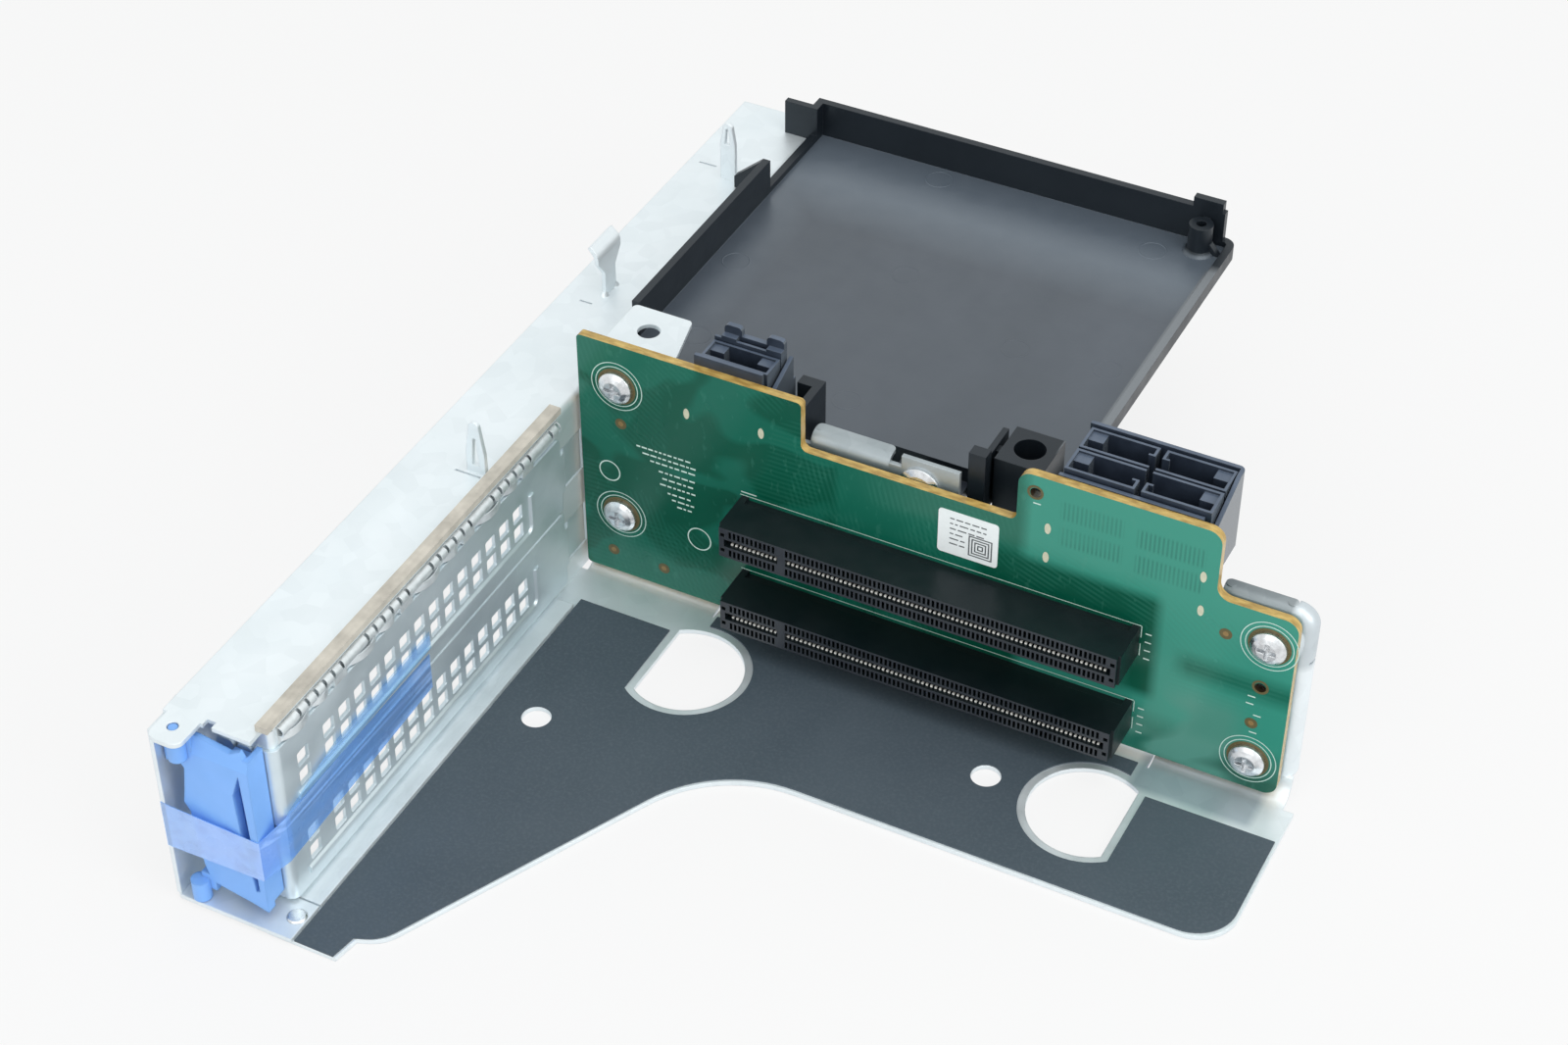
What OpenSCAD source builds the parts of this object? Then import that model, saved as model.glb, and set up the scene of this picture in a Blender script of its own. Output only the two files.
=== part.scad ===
// Two-slot expansion card riser cage: folded steel base and I/O frame, riser board with two
// long card slots, perforated slot fillers, card latch, cable connectors and a plastic tray.
// X runs along the board from its left edge, Y runs back from the board's front face,
// Z runs up from the underside of the base plate. Everything is then moved so that the
// origin lies under the middle of the whole cage.

/* [Sheet metal] */
// Thickness of the base plate and of the I/O frame
sheet_t = 1; // [0.8:0.1:1.2]
// Inside radius of the bend at the foot of the board carrier
foot_bend_r = 4.5; // [3:0.5:5]
// Inside radius of the returned edges of the board carrier
return_r = 1.5; // [1:0.1:2]
// Gap left between pieces that lie side by side without touching
seat_gap = 0.2; // [0.1:0.05:0.3]

/* [Base plate] */
// Distance from the board's face to the front edge of the base plate
base_front = 121; // [100:0.1:146]
// Distance from the board's face to the straight right-hand front edge
base_waist = 41.6; // [38:0.1:60]
// Radius of the concave curve between the slanted edge and the straight front edge
waist_r = 28; // [15:1:35]
// Radius of the front right corner
base_corner_r = 9; // [4:0.5:14]
// Radius of the D-shaped finger holes
finger_r = 12.4; // [9:0.1:13]
// Distance from the centre of a finger hole to its flat side
finger_flat = 7.2; // [5:0.1:9]
// Diameter of the round guide holes
guide_hole_d = 6.2; // [4:0.1:8]
// Thickness of the insulating film
film_t = 0.3; // [0.2:0.05:0.5]

/* [I/O frame] */
// Width of the flange outside the wall
flange_w = 21; // [20:0.5:26]
// Distance from the board's face to the back end of the flange
rail_back = 117; // [97:1:141]
// Depth of the latch bay in front of the filler tabs
bay_depth = 8.8; // [8:0.1:10]
// Height of the rear rail
rail_h = 16; // [8:1:30]
// Height of the tallest hook over the flange
hook_h = 15; // [10:0.5:18]

/* [Slots and fillers] */
// Pitch of the two card positions
slot_pitch = 20.32; // [20:0.01:25]
// Height of the lower card position over the base plate's upper face
slot_z = 10.6; // [10.2:0.1:12]
// Width of a slot filler
filler_w = 19.6; // [16:0.1:19.8]
// Thickness of a slot filler
filler_t = 0.8; // [0.6:0.1:1]
// Pitch of the hole columns
hole_pitch = 5.4; // [4.6:0.1:6.5]
// Pitch of the two hole rows
row_pitch = 4.8; // [4.4:0.1:5.6]
// Side of a square ventilation hole
hole_side = 3.6; // [2:0.1:4]
// Height of the spring strip above the upper filler
emi_h = 4.1; // [3.8:0.1:6]

/* [Board] */
// Width of the riser board
board_w = 159.2; // [154:0.1:194]
// Thickness of the riser board
board_t = 2; // [1.6:0.1:2.4]
// Height of the board's left part over the frame's flange
board_rise = 16.6; // [14:0.1:20]
// Gap under the board
board_foot = 1.6; // [1.3:0.1:2.5]
// Height of the carrier's bosses behind the board
standoff_h = 1.2; // [1:0.1:2]
// Diameter of a board screw's head
screw_head_d = 7.6; // [6:0.1:8.4]
// Diameter of a board screw's shank
screw_d = 3; // [2.5:0.1:3.6]

/* [Card slot connector] */
// Length of a slot connector
slot_len = 89; // [74:0.5:107]
// Height of a slot connector off the board
slot_h = 11.25; // [9:0.05:13]
// Width of a slot connector
slot_w = 7.6; // [7.4:0.1:9]
// Width of the card opening in a slot connector
card_gap = 1.9; // [1.8:0.05:2]
// Depth of the card opening
card_depth = 9; // [7:0.1:9]
// Contact pitch
contact_pitch = 1; // [1:0.005:1.02]
// Width of a contact
contact_w = 0.46; // [0.3:0.02:0.5]

/* [Cable connectors] */
// Width of a cable port
port_w = 14.6; // [12.2:0.1:17.6]
// Depth of a cable port
port_depth = 6.8; // [6.4:0.1:8]
// Height of the connectors' rims over the frame's flange
rim_h = 19; // [17:0.5:24]
// Thickness of a connector shell's wall
shell_wall = 0.9; // [0.7:0.05:1]
// Thickness of a cable port's wall
port_wall = 0.6; // [0.5:0.05:0.8]

/* [Tray] */
// Thickness of the tray's floor
tray_floor_t = 2; // [1.2:0.1:2.5]
// Thickness of the tray's walls
tray_wall = 1.8; // [1.2:0.1:2.5]
// Height of the tray's rim over its floor
tray_rim = 8.7; // [6:0.1:14]

/* [Latch] */
// Thickness of the latch's panel
latch_t = 2.2; // [1.8:0.1:2.6]
// Diameter of the latch's pivot pins
pivot_d = 2; // [1.6:0.1:2.4]
// Clearance round a pivot pin
pivot_gap = 0.15; // [0.1:0.05:0.2]

/* [Hidden] */
$fn = 48;
eps = 0.01;

// Card positions, and the flange that closes over the upper filler
base_top = sheet_t;
wall_foot = base_top + sheet_t;
slot_low = base_top + slot_z;
slot_high = slot_low + slot_pitch;
filler_rise = 1;
filler_low = slot_low + filler_rise;
filler_high = filler_low + slot_pitch;
flange_under = filler_high + filler_w / 2 + seat_gap + emi_h;
flange_top = flange_under + sheet_t;

// I/O wall, seen along the board
wall_in = -1;
wall_out = wall_in - sheet_t;
wall_bend_r = 0.5;
frame_left = wall_in - flange_w;
bay_left = frame_left - 0.8;
frame_front = -base_front - 0.6;
bay_back = frame_front + bay_depth;
side_front = frame_front + 0.4;
wall_turn_r = 0.2;
wall_turn_x = wall_out - wall_turn_r;
wall_turn_y = bay_back + sheet_t + wall_turn_r;
wall_end = 24;
flange_front = frame_front + 4.6;
ear_reach = 2.6;
foot_flange_x = 4;
foot_flange_end = -13.5;
rivet_spot = [1.7, frame_front + 5.5];
rivet_hole_d = 3;
hook_y = [-31.4, 30.7, rail_back - 31.2];

// Slot fillers
filler_in = wall_in + filler_t;
filler_back = -8.5;
tongue_h = 10.2;
tongue_end = 1;
first_hole_y = -26.3;
front_hole_y = bay_back + 7.6;
hole_cols = floor((first_hole_y - front_hole_y - 8) / hole_pitch) + 1;
bead_w = 2.2;
bead_h = 0.5;
bead_r = 2.2;
spring_t = 0.25;
spring_pitch = 2.9;
springs_per_group = 8;

// Board, and the carrier behind it
board_z0 = base_top + board_foot;
board_z1 = flange_top + board_rise;
carrier_y = board_t + standoff_h;
carrier_back = carrier_y + sheet_t;
carrier_left = 0.4;
base_right = board_w + 4.6;
carrier_right = base_right - 2.4;
carrier_top = flange_top + 8.7;
carrier_low_top = flange_top + 1.2;
carrier_band = [flange_top - 11, flange_top - 3];
column_x = board_w - 17.2;
return_out = return_r + sheet_t;
corner_r = 2;
ramp_left_end = 32;
ramp_right_start = board_w - 26.2;
screw_play = 0.1;
screw_spots = [[9.2, flange_top + 6], [9, base_top + 18.3],
    [board_w - 5.4, flange_top - 6.6], [board_w - 6.7, base_top + 9.3]];
pilot_d = 2.4;
tab_hole_d = 5;
tab_hole_spot = [7.7, 16.6];

// Cable connectors
shell_foot = flange_top;
rim_top = shell_foot + rim_h;
shell_play = 0.4;
port_gap_x = 1.4;
port_gap_y = 0.6;
port_floor = 9;
shell_floor = 3.4;
port_drop = 0.4;
small_x0 = 26.6;
small_len = port_w + 3;
quad_len = 2 * port_w + port_gap_x + 2 * shell_play + shell_wall + 0.1;
quad_depth = 2 * (port_depth + shell_wall + shell_play) + port_gap_y + 0.2;
quad_x0 = board_w - 19.8 - quad_len;
quad_rows = [board_t + shell_wall + shell_play,
    board_t + shell_wall + shell_play + port_depth + port_gap_y];
quad_cols = [quad_x0 + 0.6, quad_x0 + 0.6 + 2 * port_w + port_gap_x];

// Steps in the board's top edge
notch_x0 = small_x0 + small_len + 7.8;
notch_x1 = quad_x0 - 7.4;
notch_z = flange_top + 4.6;
right_top = board_z1 + 0.7;
shoulder_x = board_w - 15.2;
shoulder_z = flange_top + 1.2;
pilot_spots = [[notch_x1 + 3.8, right_top - 4.3], [board_w - 6.1, base_top + 29]];
label_x0 = notch_x1 - 16.6;
label_w = 13.2;
label_h = 11.2;
label_z0 = slot_high + slot_w / 2 + 2.8;

// Card slot connectors
slot_x0 = 38.4;
slot_end_wall = 2.5;
pins_before_key = 11;
key_pins = 2;
pins_after_key = floor((slot_len - 2 * slot_end_wall) / contact_pitch) - pins_before_key
    - key_pins;
pins = pins_before_key + pins_after_key;
pin_x0 = slot_x0 + slot_end_wall + contact_pitch / 2;
key_x = pin_x0 + (pins_before_key - 0.05) * contact_pitch;
key_w = 1.8;
pocket_w = 0.56;
pocket_in = 0.6;
pocket_out = 0.5;
pocket_depth = 2.4;
contact_reach = 0.42;
contact_top_gap = 0.9;
contact_len = 1;

// Tray
tray_z0 = flange_top - tray_floor_t;
tray_x0 = wall_in + seat_gap;
tray_x1 = quad_x0 - 3.4;
tray_front = 15.4;
tray_back = rail_back - 2.8;
tray_corner_r = 3;
tray_rim_z = flange_top + tray_rim;
sink = 0.5;
side_wall_front = 24.5;
side_wall_back = tray_back - 28.6;
post_x = quad_x0 - 16.6;
post_y = 9.6;
post_w = 10.6;
post_d = 11.4;
post_z = flange_top + 10;
post_hole_d = 6.6;
boss_x = tray_x1 - 7.1;
boss_y = tray_back - 5.4;
boss_d = 5.5;
boss_hole_d = 2.3;
tray_screw_x = post_x - 13.1;
tray_screw_z = flange_top + 2.4;
tray_screw_head_d = 9;
step_x = [tray_screw_x - 4.3, tray_screw_x + 8.5];
return_x_span = [notch_x0 + 0.6, step_x[0] - 2.8];

// Latch
pivot_x = -17.6;
pivot_y = frame_front + 1.7;
knuckle_r = 1.9;
latch_front = pivot_y + 0.7;
latch_back = latch_front + latch_t;
latch_low = base_top + 3;
latch_high = flange_under - 1.6;
rib_x = -2.4;
tape_t = 0.15;

// Whole cage
cage_mid_x = (bay_left + base_right) / 2;
cage_mid_y = (rail_back + frame_front - ear_reach) / 2;

// ---- helpers -------------------------------------------------------------

// Extrudes an outline drawn in X and Y upward from z0 to z1
module slab_z(z0, z1) {
    translate([0, 0, z0]) linear_extrude(z1 - z0) children();
}

// Extrudes an outline drawn in X and Z backward from y0 to y1
module slab_y(y0, y1) {
    translate([0, y1, 0]) rotate([90, 0, 0]) linear_extrude(y1 - y0) children();
}

// Extrudes an outline drawn in Y and Z to the right from x0 to x1
module slab_x(x0, x1) {
    translate([x0, 0, 0]) rotate([90, 0, 90]) linear_extrude(x1 - x0) children();
}

// Rectangle between two corners
module box2(x0, y0, x1, y1) {
    translate([x0, y0]) square([x1 - x0, y1 - y0]);
}

// Rectangle between two corners with round corners of radius r
module round_box2(x0, y0, x1, y1, r) {
    box2(x0 + r, y0, x1 - r, y1);
    box2(x0, y0 + r, x1, y1 - r);
    for (x = [x0 + r, x1 - r], y = [y0 + r, y1 - r]) translate([x, y]) circle(r);
}

// Ring of radius r and wall t
module ring2(r, t) {
    difference() {
        circle(r);
        circle(r - t);
    }
}

// Block between two corners
module block(x0, y0, z0, x1, y1, z1) {
    translate([x0, y0, z0]) cube([x1 - x0, y1 - y0, z1 - z0]);
}

// Quarter ring of a bent sheet about the origin, from +X round to +Y
module bend2(r_in, t) {
    intersection() {
        ring2(r_in + t, t);
        square(r_in + t);
    }
}

// Moves the whole cage over the origin
module place() {
    translate([-cage_mid_x, -cage_mid_y, 0]) children();
}

// ---- base plate and film -------------------------------------------------

// Outline of the base; trim pulls the free edges in
module base_outline2(left, back, trim) {
    slant = [19.6 - trim, -base_front + 7.8];
    slope = 2.06;
    edge_y = -base_waist + trim;
    corner_x = slant[0] + (edge_y - slant[1]) / slope;
    turn = atan(slope);
    run = waist_r * tan(turn / 2);
    step = [5, 2];
    step_turn = atan(step[1] / step[0]);
    slant_r = 8;
    slant_run = slant_r * tan((turn - step_turn) / 2);
    slant_in = slant - slant_run * [cos(step_turn), sin(step_turn)];
    cr = base_corner_r;
    right = base_right - trim;
    difference() {
        polygon([[left, -base_front], [slant[0] - 6, -base_front], slant - step, slant_in,
            slant + slant_run * [cos(turn), sin(turn)],
            [corner_x - run * cos(turn), edge_y - run * sin(turn)],
            [corner_x + run, edge_y], [right - cr, edge_y],
            [right - cr, edge_y + cr], [right, edge_y + cr], [right, back], [left, back]]);
        translate([corner_x + run, edge_y - waist_r]) circle(waist_r, $fn = 96);
    }
    translate([right - cr, edge_y + cr]) circle(cr);
    translate(slant_in + slant_r * [-sin(step_turn), cos(step_turn)])
        circle(slant_r - eps, $fn = 96);
}

// Round hole cut short by a flat on its right side (side 1) or left side (side -1)
module finger_hole2(spot, side, more) {
    r = finger_r + more;
    reach = r + finger_flat + more;
    intersection() {
        translate(spot) circle(r, $fn = 72);
        translate(spot + [side * (reach / 2 - r), 0]) square([reach, 2 * r], center = true);
    }
}

// Both finger holes, grown by more
module finger_holes2(more) {
    finger_hole2([35, -19.6], -1, more);
    finger_hole2([board_w - 32.6, -19.8], 1, more);
}

// Both guide holes, grown by more
module guide_holes2(more) {
    for (p = [[14.2, -46.6], [board_w - 54.8, -19.8]])
        translate(p) circle(d = guide_hole_d + more);
}

// Section of a returned edge: u outward to the edge at 0, v back from the carrier's face
module return_profile2(depth) {
    translate([-return_out, return_out]) rotate(-90) bend2(return_r, sheet_t);
    box2(-sheet_t, return_out - eps, 0, depth);
}

// Returned edge along X at height top, with round corners on its lip
module return_x(x0, x1, top, depth) {
    lip_r = min(1.2, depth - return_out);
    lip_y = carrier_y + return_out - 2 * eps;
    slab_x(x0, x1) translate([carrier_y + return_out, top - return_out])
        rotate(90) bend2(return_r, sheet_t);
    slab_z(top - sheet_t, top) {
        box2(x0 + lip_r, lip_y, x1 - lip_r, carrier_y + depth);
        box2(x0, lip_y, x1, carrier_y + depth - lip_r + eps);
        for (x = [x0 + lip_r, x1 - lip_r])
            translate([x, carrier_y + depth - lip_r]) circle(lip_r);
    }
}

// Returned edge along Z at the carrier's right side
module return_z(z0, z1, depth) {
    slab_z(z0, z1) translate([carrier_right, carrier_y]) return_profile2(depth);
}

// Rounded corner where the carrier's two returned edges meet
module return_corner(depth) {
    translate([carrier_right - return_out - corner_r, carrier_y,
        carrier_low_top - return_out - corner_r])
        rotate([-90, 0, 0]) rotate([0, 0, -90])
        rotate_extrude(angle = 90) translate([return_out + corner_r, 0]) return_profile2(depth);
}

// Flat of the upright board carrier, in X and Z
module carrier_flat2() {
    foot = base_top + foot_bend_r - eps;
    low = carrier_band[0];
    high = carrier_band[1];
    tab_end = 17.2;
    tongue_x = small_x0 - 1;
    neck_x = small_x0 + small_len + 1.6;
    neck_z = carrier_top - 4.4;
    lip_z = carrier_top - 1.6 - return_out;
    low_flat = carrier_low_top - return_out;
    right_flat = carrier_right - return_out;
    polygon([[carrier_left, foot], [ramp_left_end, foot], [ramp_left_end, low],
        [ramp_right_start, low], [ramp_right_start, foot], [right_flat, foot],
        [right_flat, low_flat - corner_r], [right_flat - corner_r, low_flat],
        [column_x, low_flat], [column_x, high], [step_x[1], high],
        [step_x[1], carrier_top], [step_x[0], carrier_top], [step_x[0], carrier_top - 2.8],
        [return_x_span[1], carrier_top - 2.8], [return_x_span[1], lip_z],
        [return_x_span[0], lip_z], [return_x_span[0], neck_z], [neck_x, neck_z],
        [neck_x, high], [tongue_x, high], [tongue_x, carrier_top], [tab_end, carrier_top],
        [tab_end, carrier_top - return_out], [carrier_left, carrier_top - return_out]]);
    translate([right_flat - corner_r, low_flat - corner_r]) circle(corner_r);
}

// Boss that carries the board, seen along the screw
module carrier_boss(spot) {
    translate([spot[0], carrier_y + eps, spot[1]]) rotate([90, 0, 0])
        cylinder(h = standoff_h + eps, d1 = screw_d + 9, d2 = screw_d + 6.4);
}

// Tab at the carrier's top left, with its hole
module hole_tab() {
    back = 23.8;
    right = 17.2;
    waist = [14.6, 11.6];
    r = 1.2;
    slab_z(carrier_top - sheet_t, carrier_top) difference() {
        union() {
            polygon([[carrier_left, carrier_y + return_out - eps],
                [right, carrier_y + return_out - eps], [right, waist[1]],
                [waist[0], back - r], [carrier_left, back - r]]);
            box2(carrier_left + r, back - 3, waist[0] - r, back);
            for (x = [carrier_left + r, waist[0] - r]) translate([x, back - r]) circle(r);
        }
        translate(tab_hole_spot) circle(d = tab_hole_d);
    }
    slab_x(carrier_left, right) translate([carrier_y + return_out, carrier_top - return_out])
        rotate(90) bend2(return_r, sheet_t);
}

// Hole across the carrier for a screw
module carrier_screw_hole(x, z) {
    past = 2;
    translate([x, carrier_back + past, z]) rotate([90, 0, 0])
        cylinder(h = past + sheet_t + standoff_h + eps, d = screw_d + 2 * screw_play);
}

module base_plate() {
    bend_y = carrier_y - foot_bend_r;
    relief_w = 0.5;
    relief_y = -2.5;
    seam_z = flange_top - 12.2;
    depth = 3.6;
    seam_h = 0.6;
    color("lightsteelblue") difference() {
        union() {
            slab_z(0, base_top) difference() {
                base_outline2(wall_out, bend_y + eps, 0);
                finger_holes2(0);
                guide_holes2(0);
                translate(rivet_spot) circle(d = rivet_hole_d);
            }
            slab_z(0, base_top) box2(ramp_left_end, bend_y, ramp_right_start, board_t);
            for (span = [[carrier_left, ramp_left_end], [ramp_right_start, carrier_right]])
                slab_x(span[0], span[1]) translate([bend_y, base_top + foot_bend_r])
                rotate(-90) bend2(foot_bend_r, sheet_t);
            slab_y(carrier_y, carrier_back) carrier_flat2();
            for (s = screw_spots) carrier_boss(s);
            hole_tab();
            return_x(return_x_span[0], return_x_span[1], carrier_top - 1.6, 4.2);
            return_x(column_x, carrier_right - return_out - corner_r, carrier_low_top, depth);
            return_corner(depth);
            return_z(base_top + foot_bend_r, carrier_low_top - return_out - corner_r, depth);
        }
        for (s = screw_spots) carrier_screw_hole(s[0], s[1]);
        carrier_screw_hole(tray_screw_x, tray_screw_z);
        for (x = [ramp_left_end, ramp_right_start - relief_w])
            block(x, relief_y, -1, x + relief_w, carrier_back + 1, base_top + 2);
        block(carrier_right - return_out + 0.3, carrier_y + 1.2, seam_z,
            carrier_right + 1, carrier_y + 9, seam_z + seam_h);
    }
}

module insulating_film() {
    film_left = foot_flange_x + seat_gap;
    edge = 0.6;
    ramp_y = -10.6;
    color("dimgray") slab_z(base_top, base_top + film_t) difference() {
        base_outline2(film_left, -2.2, edge);
        finger_holes2(1.7);
        guide_holes2(0.2);
        box2(ramp_right_start - 2.4, ramp_y, base_right + 1, 0);
        box2(film_left - 1, ramp_y, ramp_left_end + 1.2, 0);
    }
}

// ---- I/O frame -----------------------------------------------------------

// Outline of the wall in Y and Z, with its card window
module wall_outline2() {
    top = flange_top - wall_bend_r - sheet_t;
    lip = 0.6;
    tongue_play = 0.4;
    difference() {
        union() {
            box2(wall_turn_y, base_top + sheet_t + wall_bend_r, wall_end, top);
            box2(foot_flange_end + 0.5, base_top, wall_end, wall_foot + 1);
            box2(wall_end - 1, flange_top - rail_h, rail_back, top);
        }
        box2(bay_back + 2.2, filler_low - filler_w / 2 + lip, filler_back,
            filler_high + filler_w / 2 - lip);
        for (z = [filler_low, filler_high])
            box2(filler_back - 0.5, z - tongue_h / 2 - tongue_play, tongue_end + 0.6,
                z + tongue_h / 2 + tongue_play);
    }
}

// Outline of the top flange in X and Y
module flange_outline2() {
    edge = wall_in - wall_bend_r - sheet_t;
    ear_x0 = pivot_x - 3.4;
    ear_x1 = pivot_x + 4;
    ear_r = 2.2;
    ear_front = frame_front - ear_reach;
    slit = 0.5;
    difference() {
        union() {
            box2(frame_left, flange_front, edge + eps, rail_back);
            box2(ear_x0, ear_front + ear_r, ear_x1, flange_front + 1);
            box2(ear_x0 + ear_r, ear_front, ear_x1 - ear_r, flange_front);
            for (x = [ear_x0 + ear_r, ear_x1 - ear_r])
                translate([x, ear_front + ear_r]) circle(ear_r);
        }
        box2(-13, flange_front - 1, -11, flange_front + 1.6);
        translate([pivot_x, pivot_y]) circle(d = pivot_d + 2 * pivot_gap);
        box2(-10.6, hook_y[0] - 1.1, -4.6, hook_y[0] - 1.1 + slit);
        box2(-17, hook_y[1] - 1.2, -14, hook_y[1] - 1.2 + slit);
        box2(-19.4, hook_y[2] + 3.3, -15, hook_y[2] + 3.3 + slit);
    }
}

// Upright prong lanced out of the flange: w wide up to its taper, with an eye near eye_z
module prong(x, y, top, w, taper, eye_z, eye_h, eye_w) {
    tip_r = 1.2;
    foot = flange_top - eps;
    tip_z = top - tip_r;
    slab_y(y, y + sheet_t) difference() {
        union() {
            polygon([[x - w / 2, foot], [x + w / 2, foot], [x + w / 2, top - taper],
                [x + tip_r, tip_z], [x - tip_r, tip_z], [x - w / 2, top - taper]]);
            translate([x, tip_z]) circle(tip_r);
        }
        polygon([[x - eye_w / 2, eye_z], [x + eye_w / 2, eye_z],
            [x + 0.3, eye_z + eye_h], [x - 0.3, eye_z + eye_h]]);
    }
}

// Paddle-shaped hook whose head is bent back through head_turn degrees
module hook_paddle(x, y) {
    w = 9.6;
    neck_w = 4.4;
    neck_z = flange_top + hook_h * 0.4;
    bend_z = flange_top + hook_h * 0.7;
    bend_r = 2.2;
    head_turn = 38;
    head_l = 1.9;
    mid = y + w / 2;
    intersection() {
        slab_y(y, y + w) {
            box2(x, flange_top - eps, x + sheet_t, bend_z);
            translate([x - bend_r, bend_z]) intersection() {
                ring2(bend_r + sheet_t, sheet_t);
                polygon([[0, 0], [20, -eps], [20, 20 * tan(head_turn)]]);
            }
            translate([x - bend_r, bend_z]) rotate(head_turn)
                translate([bend_r, -eps]) square([sheet_t, head_l]);
        }
        slab_x(x - 12, x + 2) {
            polygon([[mid - neck_w / 2, flange_top - 1], [mid + neck_w / 2, flange_top - 1],
                [mid + neck_w / 2, neck_z], [mid + w / 2, bend_z - 1],
                [mid + w / 2, bend_z + 1.4], [mid + w / 2 - 1, bend_z + 9],
                [mid - w / 2, bend_z + 9], [mid - w / 2, bend_z - 1],
                [mid - neck_w / 2, neck_z]]);
        }
    }
    for (s = [-1, 1]) translate([x + sheet_t / 2, mid + s * neck_w / 2, flange_top - eps])
        cylinder(h = 1, r1 = 1.1, r2 = 0.5);
}

module io_frame() {
    bend_in = wall_in - wall_bend_r - sheet_t;
    foot_r = 1.4;
    color("lightsteelblue") difference() {
        union() {
            slab_x(wall_out, wall_in) wall_outline2();
            slab_y(wall_turn_y, rail_back)
                translate([bend_in, flange_top - sheet_t - wall_bend_r])
                bend2(wall_bend_r, sheet_t);
            slab_z(flange_under, flange_top) flange_outline2();
            slab_y(wall_turn_y, foot_flange_end)
                translate([wall_in + wall_bend_r, wall_foot + wall_bend_r])
                rotate(180) bend2(wall_bend_r, sheet_t);
            block(wall_in + wall_bend_r - eps, wall_turn_y, base_top,
                foot_flange_x, foot_flange_end, wall_foot);
            slab_z(wall_foot + wall_bend_r, flange_under + eps)
                translate([wall_turn_x, wall_turn_y]) rotate(-90) bend2(wall_turn_r, sheet_t);
            block(bay_left, bay_back, wall_foot - eps, wall_turn_x + eps,
                bay_back + sheet_t, flange_under + eps);
            block(bay_left, side_front, wall_foot - eps, bay_left + sheet_t,
                bay_back + eps, flange_under - 1);
            slab_z(base_top, wall_foot) {
                box2(bay_left + foot_r, frame_front, foot_flange_x, bay_back);
                box2(bay_left, frame_front + foot_r, foot_flange_x, bay_back + sheet_t);
                translate([bay_left + foot_r, frame_front + foot_r]) circle(foot_r);
            }
            prong(-6, hook_y[0], flange_top + hook_h - 2, 4.4, 8, flange_top + 2, 7, 1.8);
            hook_paddle(-13.7, hook_y[1] + 0.5);
            prong(-10.1, hook_y[2], flange_top + hook_h, 3.8, 5.4,
                flange_top + hook_h - 5.6, 4.2, 1.4);
        }
        block(wall_in, bay_back + sheet_t - 0.1, base_top - 1, foot_flange_x + 1,
            wall_turn_y + 0.1, wall_foot + 1);
        translate([rivet_spot[0], rivet_spot[1], 0]) cylinder(h = wall_foot + 1, d = rivet_hole_d);
        translate([pivot_x, pivot_y, 0]) cylinder(h = wall_foot + 1, d = pivot_d + 2 * pivot_gap);
    }
}

module frame_rivet() {
    head_d = 4.2;
    color("silver") translate([rivet_spot[0], rivet_spot[1], 0]) {
        translate([0, 0, 0.2]) cylinder(h = wall_foot, d = rivet_hole_d - 0.2);
        translate([0, 0, wall_foot]) cylinder(h = 0.4, d1 = head_d, d2 = head_d - 0.8);
    }
}

// ---- fillers, spring strip, gasket ---------------------------------------

// Square ventilation hole with clipped corners, centred
module vent_hole2() {
    h = hole_side / 2;
    c = 0.3;
    polygon([[-h, -h + c], [-h + c, -h], [h - c, -h], [h, -h + c],
        [h, h - c], [h - c, h], [-h + c, h], [-h, h - c]]);
}

// Section of the stiffening bead: u across it, v out of the sheet
module bead_profile2() {
    polygon([[-bead_w / 2, -eps], [-bead_w / 4, bead_h], [bead_w / 4, bead_h],
        [bead_w / 2, -eps]]);
}

// Bead that runs under the hole field and turns up behind it
module filler_bead(z) {
    back_y = first_hole_y + 5.4;
    low_z = z - row_pitch / 2 - hole_side / 2 - 1.7;
    turn_y = back_y - bead_r;
    turn_z = low_z + bead_r;
    front_y = front_hole_y - hole_side / 2 - 1;
    slab_z(turn_z - eps, z + row_pitch / 2 + 1.6)
        translate([filler_in, back_y]) rotate(-90) bead_profile2();
    slab_y(front_y, turn_y + eps)
        translate([filler_in, low_z]) rotate(-90) bead_profile2();
    translate([filler_in, turn_y, turn_z]) rotate([0, 90, 0])
        rotate_extrude(angle = 90) translate([bead_r, 0]) bead_profile2();
}

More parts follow.
